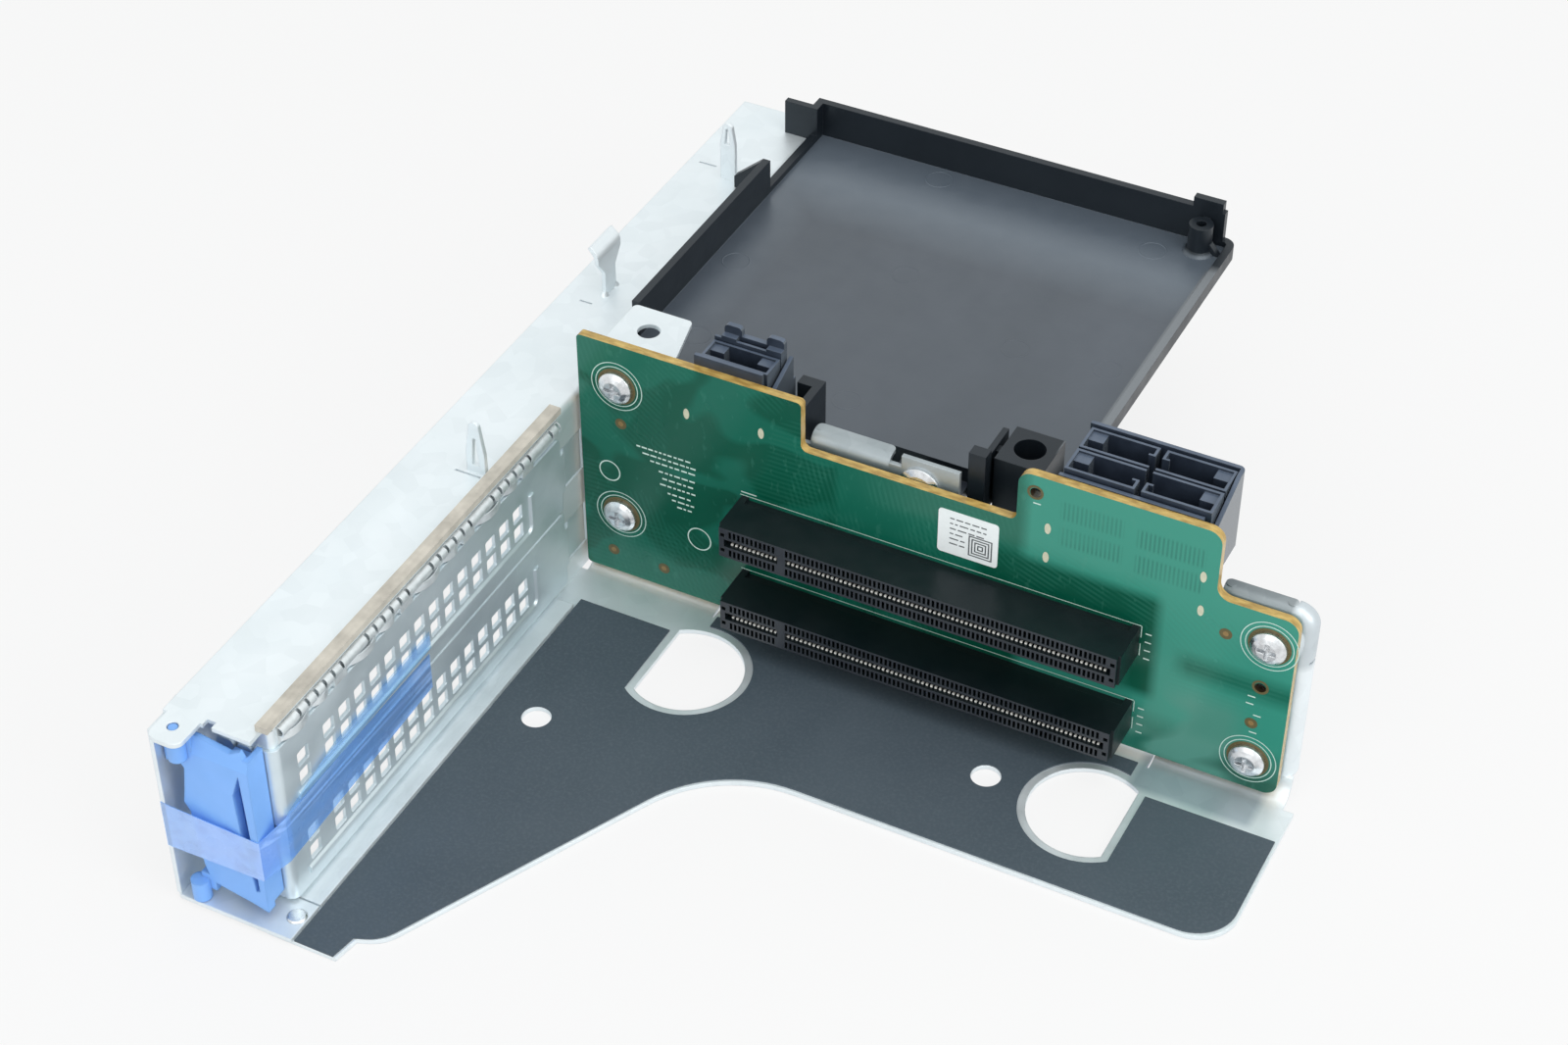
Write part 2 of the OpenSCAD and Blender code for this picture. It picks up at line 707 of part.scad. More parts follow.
// One slot filler centred on height z
module filler(z) {
    half = filler_w / 2;
    turn_in = wall_turn_r + sheet_t;
    tab_left = -13.4;
    tab_y = wall_turn_y - turn_in - filler_t;
    tab_r = 1.2;
    end_r = 1;
    shoulder = filler_back - end_r;
    color("silver") {
        slab_x(wall_in, filler_in) difference() {
            union() {
                box2(wall_turn_y, z - half, shoulder, z + half);
                box2(shoulder - 2.5, z - half + end_r, filler_back, z + half - end_r);
                box2(filler_back - 0.5, z - tongue_h / 2, -7.4, z + tongue_h / 2);
                for (s = [-1, 1]) translate([shoulder, z + s * (half - end_r)]) circle(end_r);
            }
            for (i = [0:hole_cols - 1], s = [-1, 1])
                translate([first_hole_y - i * hole_pitch, z + s * row_pitch / 2]) vent_hole2();
            for (s = [-1, 1]) translate([front_hole_y, z + s * row_pitch / 2]) vent_hole2();
        }
        filler_bead(z);
        slab_z(z - tongue_h / 2, z + tongue_h / 2)
            polygon([[wall_in, -8.2], [filler_in, -8], [filler_in, -7.4], [wall_in - 0.2, -5.6],
                [wall_in - 0.2, tongue_end], [wall_out, tongue_end], [wall_out, -5.8],
                [wall_in, -7.6]]);
        slab_z(z - half, z + half) translate([wall_turn_x, wall_turn_y])
            rotate(-90) bend2(turn_in, filler_t);
        slab_y(tab_y, tab_y + filler_t) {
            box2(tab_left, z - half, wall_turn_x + eps, z + half - 2.6);
            round_box2(tab_left, z + half - 6, -9.3, z + half - 0.4, tab_r);
            round_box2(-8.6, z + half - 6, -5.2, z + half - 0.4, tab_r);
            box2(-4.6, z + half - 6, wall_turn_x + eps, z + half);
        }
    }
}

// Spring bowed out from the strip over a length l along Y, with a rise of sag
module bow_spring(y, z0, z1, l, sag) {
    r = (l * l / 4 + sag * sag) / (2 * sag);
    face = wall_in + spring_t - eps;
    slab_z(z0, z1) intersection() {
        translate([face + sag - r, y + l / 2]) ring2(r, spring_t, $fn = 96);
        box2(face, y, face + sag + 1, y + l);
    }
}

// Strip of curled fingers over a row of bowed springs, along the inside of the wall
module emi_finger_strip() {
    low = filler_high + filler_w / 2 + seat_gap;
    high = flange_under;
    front = bay_back + 1.8;
    back = -8;
    curl_r = 1.25;
    curl_z = high - curl_r;
    bow_top = curl_z - 0.9;
    group = spring_pitch * springs_per_group;
    slot = 0.8;
    groups = floor((back - front) / group);
    color("gainsboro") {
        slab_x(wall_in, wall_in + spring_t) box2(front, low, back, high);
        difference() {
            slab_y(front + 0.4, back - 0.4) intersection() {
                translate([wall_in + 0.2, curl_z]) ring2(curl_r, spring_t, $fn = 24);
                box2(wall_in + 0.1, low, wall_in + curl_r + 1, high);
            }
            for (g = [0:groups], i = [2:springs_per_group - 1])
                if (front + g * group + i * spring_pitch < back - 1)
                    translate([wall_in + spring_t, front + g * group + i * spring_pitch, low])
                    cube([curl_r + 1, slot, high - low + 1]);
        }
        for (g = [0:groups - 1]) {
            bow_spring(front + 0.8 + g * group, low + 0.1, bow_top, 9.2, 1.5);
            bow_spring(front + 11.2 + g * group, low + 0.1, bow_top, 5.4, 1);
            block(wall_in + spring_t - eps, front + 17.8 + g * group, low + 0.1,
                wall_in + spring_t + 0.8, front + 22 + g * group, bow_top);
        }
    }
}

module gasket_strip() {
    color("tan") block(wall_in - 2.3, wall_turn_y - 2.4, flange_top, wall_in + 0.4, -6.6,
        flange_top + 1.5);
}

// ---- latch ---------------------------------------------------------------

// Front outline of the latch's panel in X and height over the panel's lower end
module latch_panel2() {
    h = latch_high - latch_low;
    difference() {
        polygon([[-21.4, h], [-14.2, h], [-6.8, h - 1.2], [-4.5, h], [-3.7, h - 1.6],
            [rib_x, h - 1.6], [rib_x, 0], [-6, 1], [-14.4, 2.6], [-15.4, 3.4],
            [-16.4, 7], [-17.6, 21], [-18.8, h - 18.4], [-18.1, h - 14.5],
            [-17.3, h - 8.7], [-17.9, h - 8], [-20, h - 7.4], [-21.3, h - 8.4]]);
        polygon([[-4.7, h - 5.5], [-6.7, h - 11.4], [-6.3, 20.4], [-4.7, 4.8],
            [-3.8, 5.2], [-4.2, 21.9]]);
    }
}

module latch() {
    rib_t = 1.1;
    rib_back = latch_front + 5.4;
    slot_floor = latch_front + 3.8;
    bevel_h = 4;
    bevel = 1.2;
    stop_h = 4;
    stop_end = wall_turn_y - wall_turn_r - sheet_t - filler_t;
    low_knuckle = [wall_foot + 0.2, latch_low + 3];
    high_knuckle = [latch_high - 5.4, flange_under - 0.3];
    color("cornflowerblue") {
        difference() {
            slab_y(latch_front, latch_back) translate([0, latch_low]) latch_panel2();
            slab_x(-15, 0) polygon([[latch_front - 1, latch_high + 1],
                [latch_front - 1, latch_high - bevel_h], [latch_front, latch_high - bevel_h],
                [latch_front + bevel, latch_high], [latch_front + bevel, latch_high + 1]]);
        }
        block(rib_x - rib_t, latch_back - eps, latch_low + 1.4, rib_x, rib_back,
            latch_high - 1.6);
        block(-7.6, slot_floor, latch_low + 3, rib_x - rib_t + eps, rib_back, latch_high - 4);
        block(-8.8, latch_back - eps, latch_low + 3, -7.6 + eps, rib_back, latch_high - 4);
        for (z = [latch_low + 9, latch_high - 10.4])
            block(-12.6, latch_back - eps, z, -10.2, stop_end, z + stop_h);
        for (span = [low_knuckle, high_knuckle]) translate([pivot_x, pivot_y, span[0]])
            cylinder(h = span[1] - span[0], r = knuckle_r);
        block(pivot_x, latch_front, latch_low + 0.4, -14.4, latch_back, latch_low + 4.4);
        translate([pivot_x, pivot_y, base_top + 0.1])
            cylinder(h = low_knuckle[1] - base_top - 0.2, d = pivot_d);
        translate([pivot_x, pivot_y, high_knuckle[0] + 0.2])
            cylinder(h = flange_top - high_knuckle[0] - 0.4, d = pivot_d);
    }
}

// Strip of film tape across the latch and along the fillers
module latch_tape() {
    turn_y = wall_turn_y - 1.6;
    end_y = -62;
    low = base_top + 12;
    split = (slot_low + slot_high) / 2;
    wide = 10.3;
    start_y = side_front;
    color("lavender") difference() {
        intersection() {
            slab_z(base_top, flange_top) polygon([[bay_left, start_y],
                [bay_left + sheet_t, start_y], [rib_x, latch_front],
                [filler_in, turn_y], [filler_in, end_y], [filler_in + tape_t, end_y],
                [filler_in + tape_t, turn_y], [rib_x + tape_t, latch_front],
                [rib_x, latch_front - tape_t], [bay_left + sheet_t, start_y - tape_t],
                [bay_left, start_y - tape_t]]);
            union() {
                slab_y(start_y - 1, turn_y - 2) polygon([[bay_left, low + 2.3],
                    [rib_x + tape_t, low], [rib_x + tape_t, low + wide],
                    [bay_left, low + wide + 3.7]]);
                slab_x(rib_x, filler_in + 1) polygon([[latch_front - 0.2, low],
                    [turn_y, low + 1], [end_y, low + 3.7], [end_y, split + 5.14],
                    [turn_y, split + 3.64], [latch_front - 0.2, low + wide]]);
            }
        }
        filler_bead(filler_high);
    }
}

// ---- board ---------------------------------------------------------------

// Outline of the board in X and Z
module board_outline2() {
    r = 1.6;
    corner = 1;
    right_r = 3;
    difference() {
        union() {
            round_box2(0, board_z0, notch_x0, board_z1, corner);
            round_box2(0, board_z0, board_w - right_r, shoulder_z, corner);
            round_box2(shoulder_x, board_z0, board_w, shoulder_z, right_r);
            box2(corner, board_z0 + corner, notch_x1 + right_r, notch_z);
            round_box2(notch_x1, board_z0, shoulder_x - 2, right_top, right_r);
            box2(notch_x1, board_z0 + corner, notch_x1 + right_r + 1, right_top - right_r);
            box2(shoulder_x - right_r, board_z0 + corner, shoulder_x + right_r - 2,
                shoulder_z + right_r);
            translate([notch_x0 - eps, notch_z - eps]) square(r);
            translate([notch_x1 + eps - r, notch_z - eps]) square(r);
        }
        translate([notch_x0 + r, notch_z + r]) circle(r);
        translate([notch_x1 - r, notch_z + r]) circle(r);
        translate([shoulder_x - 2 + right_r, shoulder_z + right_r]) circle(right_r);
        for (s = screw_spots) translate(s) circle(d = screw_d + 2 * screw_play);
        for (p = pilot_spots) translate(p) circle(d = pilot_d);
    }
}

module circuit_board() {
    color("seagreen") slab_y(0, board_t) board_outline2();
}

// Middle of every contact position along the slot
function pin_x(i) = pin_x0 + (i + (i < pins_before_key ? 0 : key_pins)) * contact_pitch;

module slot_housing(z) {
    half = slot_w / 2;
    face = -slot_h;
    slot_x1 = slot_x0 + slot_len;
    gap_end = 1.6;
    pocket_z = card_gap / 2 + pocket_in;
    end_hole = 0.9;
    notch = [0.9, 1.2];
    foot_groove = [0.75, 2.2];
    color("dimgray") difference() {
        slab_y(face, 0) box2(slot_x0, z - half, slot_x1, z + half);
        slab_y(face - 1, face + card_depth) {
            box2(slot_x0 + gap_end, z - card_gap / 2, key_x, z + card_gap / 2);
            box2(key_x + key_w, z - card_gap / 2, slot_x1 - gap_end, z + card_gap / 2);
        }
        slab_y(face - 1, face + pocket_depth) {
            for (i = [0:pins - 1]) translate([pin_x(i) - pocket_w / 2, z]) {
                box2(0, pocket_z, pocket_w, half - pocket_out);
                box2(0, pocket_out - half, pocket_w, -pocket_z);
            }
            for (x = [slot_x0 + 0.8, slot_x1 - 0.8 - end_hole], s = [-1, 1])
                translate([x, z + s * (pocket_z + end_hole / 2) - end_hole / 2])
                square(end_hole);
        }
        for (x = [slot_x0 - notch[0] / 2, slot_x1 - notch[0] / 2])
            block(x, face - 1, z - half - 1, x + notch[0], face + notch[1], z + half + 1);
        for (s = [-1, 1]) translate([slot_x0 + gap_end, -foot_groove[1],
            z + s * half - foot_groove[0]])
            cube([slot_len - 2 * gap_end, foot_groove[1] + 1, 2 * foot_groove[0]]);
    }
}

// Rows of contacts of one slot, bent out from the walls of its card opening
module contact_rows(z) {
    y0 = -slot_h + contact_top_gap;
    reach = contact_reach;
    color("goldenrod") slab_y(y0, y0 + contact_len) for (i = [0:pins - 1], s = [-1, 1])
        translate([pin_x(i) - contact_w / 2, z + s * (card_gap - reach) / 2 - reach / 2])
        square([contact_w, reach]);
}

module board_screws() {
    head_r = screw_head_d / 2;
    head_h = 2.1;
    cross = [3.8, 0.9];
    tail = 1.4;
    color("silver") for (s = screw_spots) translate([s[0], 0, s[1]]) rotate([90, 0, 0])
        difference() {
            rotate_extrude() polygon([[0, -carrier_back - tail],
                [screw_d / 2, -carrier_back - tail], [screw_d / 2, 0], [head_r, 0],
                [head_r, 1], [head_r - 0.7, 1.6], [head_r - 1.7, head_h], [0, head_h]]);
            translate([0, 0, 1]) linear_extrude(head_h) {
                square(cross, center = true);
                square([cross[1], cross[0]], center = true);
            }
        }
}

module board_label() {
    paper_t = 0.15;
    color("white") slab_y(-paper_t, 0)
        round_box2(label_x0, label_z0, label_x0 + label_w, label_z0 + label_h, 0.8);
}

// ---- cable connectors ----------------------------------------------------

module quad_shroud() {
    x1 = quad_x0 + quad_len;
    y0 = board_t;
    y1 = y0 + quad_depth;
    r = 1.4;
    front_drop = 1.4;
    side_drop = 4.4;
    color("slategray") difference() {
        slab_z(shell_foot, rim_top) {
            box2(quad_x0, y0, x1, y1 - r);
            box2(quad_x0, y1 - r - eps, x1 - r, y1);
            translate([x1 - r, y1 - r]) circle(r);
        }
        block(quad_x0 - 1, y0 + shell_wall, shell_foot + shell_floor, x1 - shell_wall,
            y1 - shell_wall, rim_top + 1);
        slab_x(x1 - shell_wall - r, x1 + 1) polygon([[y0 - 1, rim_top - side_drop],
            [y0 + 2, rim_top - side_drop], [y1 - 3, rim_top], [y1 - 3, rim_top + 1],
            [y0 - 1, rim_top + 1]]);
        block(quad_x0 - 1, y0 - 1, rim_top - front_drop, x1 + 1, y0 + shell_wall + eps,
            rim_top + 1);
    }
}

// Open box w by d with a floor, a tongue on the floor and a block at each listed end
module port_body(w, d, ends) {
    h = rim_top - port_drop - shell_foot - shell_floor;
    floor_h = port_floor - shell_floor;
    block_l = 3.2;
    t = port_wall;
    difference() {
        cube([w, d, h]);
        translate([t, t, floor_h]) cube([w - 2 * t, d - 2 * t, h]);
    }
    for (e = ends) translate([e > 0 ? w - t - block_l : t - eps, d / 2, floor_h - eps])
        cube([block_l + eps, d / 2 - t + eps, h - floor_h - 0.5]);
    translate([block_l + 1.4, d / 2 - 2.2, floor_h - eps])
        cube([w - 2 * block_l - 2.8, 1.6, 4]);
}

// Cable port; side mirrors it in X, row picks which long wall carries the inner leg
module quad_port(x, y, side, row) {
    d = port_depth;
    t = port_wall;
    keep = 0.45 * d;
    leg = [1.5, 0.5];
    h = rim_top - port_drop - shell_foot - shell_floor;
    floor_h = port_floor - shell_floor;
    color("slategray") translate([x, y, shell_foot + shell_floor])
        mirror([side < 0 ? 1 : 0, 0, 0]) {
            difference() {
                port_body(port_w, d, [-1]);
                translate([port_w - t - eps, row == 0 ? keep : t, floor_h])
                    cube([t + 1, d - keep - t, h]);
            }
            translate([port_w - leg[0], row == 0 ? keep - leg[1] : d - keep, floor_h - eps])
                cube([leg[0], leg[1], h - floor_h + eps]);
        }
}

module small_shroud() {
    x1 = small_x0 + small_len;
    y0 = board_t;
    depth = 11;
    foot = shell_foot;
    t = shell_wall;
    cheek_drop = 4.6;
    back_h = 12;
    chamfer = [1.6, 1.8];
    color("slategray") difference() {
        block(small_x0, y0, foot, x1, y0 + depth, rim_top);
        block(small_x0 - 1, y0 + t, foot + shell_floor, x1 - t, y0 + depth - t, rim_top + 1);
        block(small_x0 - 1, y0 + depth - t - eps, foot + back_h, x1 + 1, y0 + depth + 1,
            rim_top + 1);
        slab_x(x1 - 2, x1 + 1) polygon([[y0 - 1, rim_top - cheek_drop],
            [y0 + 1.6, rim_top - cheek_drop], [y0 + depth, rim_top - 1],
            [y0 + depth + 1, rim_top - 1], [y0 + depth + 1, rim_top + 1],
            [y0 - 1, rim_top + 1]]);
        slab_y(y0 - 1, y0 + t + 1) polygon([[x1 - chamfer[0], rim_top + 1],
            [x1 - chamfer[0], rim_top], [x1, rim_top - chamfer[1]],
            [x1 + 1, rim_top - chamfer[1]], [x1 + 1, rim_top + 1]]);
    }
}

module small_port() {
    color("slategray")
        translate([small_x0 + 1, board_t + shell_wall + 0.2, shell_foot + shell_floor])
        port_body(small_len - 2.4, port_depth - 1, [-1, 1]);
}

// Lock behind the small port: a plate with two round-topped posts and a thin rim
module small_lock() {
    x0 = small_x0 + 2.6;
    x1 = small_x0 + small_len - 1.3;
    rim_y = board_t + shell_wall + port_depth - 0.6;
    rim_t = 0.6;
    y0 = rim_y + 1.4;
    z0 = shell_foot + shell_floor;
    post = 4;
    post_top = rim_top + 3;
    leg = 3.4;
    color("slategray") {
        slab_y(y0, y0 + 1.2) {
            box2(x0, z0, x1, rim_top + 1);
            round_box2(x0, rim_top - post, x0 + post, post_top, 1);
            round_box2(x1 - post, rim_top - post, x1, post_top, 1);
        }
        for (x = [x0, x1 - leg]) block(x, rim_y, z0, x + leg, y0 + eps, rim_top + 1);
        block(small_x0 + 1, rim_y, z0, x1, rim_y + rim_t, rim_top + 0.4);
    }
}

// ---- tray ----------------------------------------------------------------

// Outline of the tray in X and Y, pulled in by inset on all sides but the front
module tray_outline2(inset) {
    r = tray_corner_r;
    box2(tray_x0 + inset, tray_front, tray_x1 - inset, tray_back - r);
    box2(tray_x0 + inset, tray_front, tray_x1 - r, tray_back - inset);
    translate([tray_x1 - r, tray_back - r]) circle(r - inset);
}

// Wall of the tray up to height top, where it crosses the children's outline
module tray_walls(top) {
    slab_z(flange_top - sink, top) intersection() {
        difference() {
            tray_outline2(0);
            tray_outline2(tray_wall);
        }
        children();
    }
}

// Ribs, lugs and the screw lug at the tray's front
module tray_lugs() {
    z0 = tray_z0;
    rib_t = 1.4;
    skirt = 5;
    top = flange_top + 11;
    left_rib = notch_x0 - 2;
    mid_rib = notch_x0 + 7.6;
    right_rib = step_x[1] + 2.2;
    lug_x = [tray_screw_x - 5.3, tray_screw_x + 5.7];
    block(tray_x0 + 1.4, tray_front, z0 - skirt, tray_x1 - 2, tray_front + rib_t, z0 + eps);
    block(left_rib - 5.2, tray_front - 2.8, z0, left_rib, tray_front + eps, top);
    block(left_rib - 1.8, carrier_back + 1.2, z0, left_rib, tray_front + eps, top);
    block(mid_rib, carrier_back + 1.8, z0, mid_rib + rib_t, tray_front + eps, flange_top);
    block(lug_x[0], carrier_back, z0 - 4, lug_x[1], carrier_back + 3, flange_top + 6);
    block(lug_x[0], carrier_back, z0 - 4, lug_x[1], tray_front + 1, z0 - 1.6);
    block(right_rib, carrier_back + 3.8, z0 - 2, right_rib + 1.3, tray_front + 4.1,
        flange_top + 10);
    block(right_rib - 1.4, carrier_back + 1.2, z0 - 2, right_rib + 2.3, carrier_back + 4,
        flange_top + 13);
    block(right_rib + 1, post_y + 3.4, z0 - 2, post_x + eps, post_y + 5.4, post_z - 1);
    block(post_x, post_y, z0 - skirt, post_x + post_w, post_y + post_d, post_z);
}

module tray() {
    x0 = tray_x0;
    z1 = flange_top;
    y1 = tray_back;
    lip_z = z1 + 1.4;
    ear = 6.6;
    ear_y = y1 - 4.8;
    ear_t = 1.6;
    boss_rib = 1.6;
    tab = [3.5, 2.4];
    color("dimgray") difference() {
        union() {
            slab_z(tray_z0, z1) tray_outline2(0);
            tray_walls(tray_rim_z) {
                box2(x0 - 1, side_wall_front, x0 + 10, side_wall_back);
                box2(x0 - 1, ear_y, tray_x1 - tray_corner_r, y1 + 1);
            }
            tray_walls(lip_z) {
                box2(x0 - 1, side_wall_back - 1, tray_x1 + 1, y1 + 1);
                box2(boss_x, tray_front - 1, tray_x1 + 1, y1);
            }
            slab_y(side_wall_back - tray_wall, side_wall_back) polygon([[x0 + tray_wall, z1],
                [x0 + tray_wall, tray_rim_z], [x0, tray_rim_z], [x0 - ear, z1 + 3],
                [x0 - ear, z1]]);
            slab_y(ear_y, ear_y + ear_t) box2(x0 - ear, z1, x0 + tray_wall, tray_rim_z);
            translate([boss_x, boss_y, z1 - sink]) cylinder(h = tray_rim - 1, d = boss_d);
            translate([boss_x, boss_y, z1 - eps])
                cylinder(h = 1, d1 = boss_d + 2, d2 = boss_d);
            block(boss_x - boss_rib / 2, boss_y + 2, z1 - sink, boss_x + boss_rib / 2,
                y1 - tray_wall + eps, tray_rim_z - 2);
            slab_y(boss_y - boss_rib / 2, boss_y + boss_rib / 2) polygon([[boss_x, z1 - sink],
                [tray_x1 - tray_wall, z1 - sink], [boss_x, tray_rim_z - 2.6]]);
            block(boss_x - tab[0], y1 - tray_wall, z1 - sink, boss_x + tab[0], y1,
                tray_rim_z + tab[1]);
            tray_lugs();
        }
        translate([boss_x, boss_y, z1 + 1]) cylinder(h = tray_rim, d = boss_hole_d);
        translate([post_x + post_w / 2, post_y + post_d / 2, tray_z0 - 6])
            cylinder(h = post_z - tray_z0 + 8, d = post_hole_d);
        translate([tray_screw_x, carrier_back + 5, tray_screw_z])
            rotate([90, 0, 0]) cylinder(h = 6, d = screw_d + 2 * screw_play);
    }
}

module tray_screw() {
    head = standoff_h - 0.1;
    color("silver") translate([tray_screw_x, carrier_y, tray_screw_z]) rotate([90, 0, 0]) {
        translate([0, 0, -4]) cylinder(h = 4.1, d = screw_d);
        cylinder(h = head / 2, d = tray_screw_head_d);
        translate([0, 0, head / 2])
            cylinder(h = head / 2, d1 = tray_screw_head_d, d2 = tray_screw_head_d - 3);
    }
}

// ---- parts ---------------------------------------------------------------

place() base_plate();
place() io_frame();
place() insulating_film();
place() filler(filler_high);  // filler_upper
place() filler(filler_low);  // filler_lower
place() emi_finger_strip();
place() gasket_strip();
place() latch();
place() latch_tape();
place() frame_rivet();
place() circuit_board();
place() slot_housing(slot_high);  // slot_upper
place() slot_housing(slot_low);  // slot_lower
place() contact_rows(slot_high);  // contacts_upper
place() contact_rows(slot_low);  // contacts_lower
place() board_screws();
place() board_label();
place() small_shroud();
place() small_port();
place() small_lock();
place() quad_shroud();
place() quad_port(quad_cols[0], quad_rows[0], 1, 0);  // quad_port_1
place() quad_port(quad_cols[1], quad_rows[0], -1, 0);  // quad_port_2
place() quad_port(quad_cols[0], quad_rows[1], 1, 1);  // quad_port_3
place() quad_port(quad_cols[1], quad_rows[1], -1, 1);  // quad_port_4
place() tray();
place() tray_screw();
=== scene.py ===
"""Looks of the riser cage bracket: materials, printed marks, small parts, lights and camera."""
import math
import random

import bpy
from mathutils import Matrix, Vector


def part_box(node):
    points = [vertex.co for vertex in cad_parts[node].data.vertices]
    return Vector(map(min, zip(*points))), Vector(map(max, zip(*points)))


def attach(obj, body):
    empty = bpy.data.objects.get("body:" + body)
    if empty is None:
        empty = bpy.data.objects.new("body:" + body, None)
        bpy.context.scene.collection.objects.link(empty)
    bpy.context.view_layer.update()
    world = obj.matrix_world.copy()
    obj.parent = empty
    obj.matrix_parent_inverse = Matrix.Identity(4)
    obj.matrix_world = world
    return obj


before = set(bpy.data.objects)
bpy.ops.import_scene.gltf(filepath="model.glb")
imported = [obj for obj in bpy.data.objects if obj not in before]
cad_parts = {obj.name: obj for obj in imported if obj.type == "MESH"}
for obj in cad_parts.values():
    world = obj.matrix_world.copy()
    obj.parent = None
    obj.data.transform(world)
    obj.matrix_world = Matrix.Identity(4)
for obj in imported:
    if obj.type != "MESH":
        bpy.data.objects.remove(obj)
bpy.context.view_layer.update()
MM = 0.001

# Places are in millimetres from the board's lower front left corner, as in the part:
# x along the board, y back from its front face, z up from the base plate's upper face.
BOARD_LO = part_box("circuit_board")[0]
SHEET = 1.0
ORIGIN = Vector((BOARD_LO[0], BOARD_LO[1], SHEET * MM))
TRAY_FLOOR = 47.0
SCREWS = ((9.2, 53.0), (9.0, 18.3), (153.8, 40.4), (152.5, 9.3))
HOLES = ((103.3, 60.1), (153.1, 29.2))


def at(x, y, z):
    """A point given in the board's millimetres, in metres in the frame."""
    return ORIGIN + Vector((x, y, z)) * MM


# ---- node materials ---------------------------------------------------------

class Shader:
    """A principled material with short helpers for the nodes that feed it."""

    def __init__(self, name, color, rough, metal=0.0, specular=0.5, edge=0.0):
        self.mat = bpy.data.materials.new(name)
        self.mat.use_nodes = True
        self.tree = self.mat.node_tree
        self.nodes = self.tree.nodes
        self.bsdf = self.nodes["Principled BSDF"]
        self.set("Base Color", (*color, 1.0))
        self.set("Roughness", rough)
        self.set("Metallic", metal)
        self.set("Specular IOR Level", specular)
        self.coord = self.nodes.new("ShaderNodeTexCoord")
        self.height = None
        if edge:
            self.height = self.node("ShaderNodeBevel", samples=4, Radius=edge).outputs["Normal"]
            self.link(self.height, self.bsdf.inputs["Normal"])

    def set(self, socket, value):
        self.bsdf.inputs[socket].default_value = value
        return self

    def sheen(self, color):
        """Tint of the mirrored surroundings."""
        return self.set("Specular Tint", (*color, 1.0))

    def node(self, kind, **values):
        made = self.nodes.new(kind)
        for key, value in values.items():
            if key in made.inputs:
                made.inputs[key].default_value = value
            else:
                setattr(made, key, value)
        return made

    def link(self, source, target):
        self.tree.links.new(source, target)

    def mapped(self, scale=(1.0, 1.0, 1.0), turn=(0.0, 0.0, 0.0)):
        """Object coordinates, scaled and turned."""
        mapping = self.node("ShaderNodeMapping", Scale=scale, Rotation=turn)
        self.link(self.coord.outputs["Object"], mapping.inputs["Vector"])
        return mapping.outputs["Vector"]

    def noise(self, size, detail=3.0, rough=0.55, stretch=(1.0, 1.0, 1.0), distort=0.0):
        """Noise whose features are about size metres across."""
        tex = self.node("ShaderNodeTexNoise", Scale=1.0, Detail=detail, Roughness=rough,
                        Distortion=distort)
        self.link(self.mapped(tuple(s / size for s in stretch)), tex.inputs["Vector"])
        return tex.outputs["Fac"]

    def cells(self, size, stretch=(1.0, 1.0, 1.0)):
        """Random value for each cell of about size metres."""
        tex = self.node("ShaderNodeTexVoronoi", Scale=1.0)
        self.link(self.mapped(tuple(s / size for s in stretch)), tex.inputs["Vector"])
        split = self.node("ShaderNodeSeparateColor")
        self.link(tex.outputs["Color"], split.inputs["Color"])
        return split.outputs["Red"]

    def ramp(self, value, stops):
        """Greys or colours along a value; stops are (place, colour or grey)."""
        made = self.node("ShaderNodeValToRGB")
        elements = made.color_ramp.elements
        while len(elements) < len(stops):
            elements.new(0.5)
        for element, (place, tone) in zip(elements, stops):
            element.position = place
            rgb = (tone,) * 3 if isinstance(tone, (int, float)) else tone
            element.color = (*rgb, 1.0)
        self.link(value, made.inputs["Fac"])
        return made.outputs["Color"]

    def mix(self, factor, first, second, blend="MIX"):
        """Blend of two colours, each a socket or a tuple."""
        made = self.node("ShaderNodeMix", data_type="RGBA", blend_type=blend)
        for socket, value in ((made.inputs[0], factor), (made.inputs[6], first),
                              (made.inputs[7], second)):
            if isinstance(value, bpy.types.NodeSocket):
                self.link(value, socket)
            elif isinstance(value, tuple):
                socket.default_value = (*value, 1.0)
            else:
                socket.default_value = value
        return made.outputs[2]

    def math(self, operation, first, second=0.0):
        made = self.node("ShaderNodeMath", operation=operation)
        for socket, value in zip(made.inputs, (first, second)):
            if isinstance(value, bpy.types.NodeSocket):
                self.link(value, socket)
            else:
                socket.default_value = value
        return made.outputs[0]

    def span(self, value, low, high, out_low=0.0, out_high=1.0):
        """Linear map of a value, clamped."""
        made = self.node("ShaderNodeMapRange")
        self.link(value, made.inputs["Value"])
        for key, number in (("From Min", low), ("From Max", high), ("To Min", out_low),
                            ("To Max", out_high)):
            made.inputs[key].default_value = number
        return made.outputs["Result"]

    def axis(self, letter, kind="Object"):
        """One coordinate, in metres, or one part of the surface's direction."""
        split = self.node("ShaderNodeSeparateXYZ")
        self.link(self.coord.outputs[kind], split.inputs["Vector"])
        return split.outputs[letter]

    def facing(self, letter, low=0.6, high=0.8):
        """1 where the surface faces along an axis, either way."""
        return self.span(self.math("ABSOLUTE", self.axis(letter, "Normal")), low, high)

    def both(self, *values):
        """Product of masks."""
        out = values[0]
        for value in values[1:]:
            out = self.math("MULTIPLY", out, value)
        return out

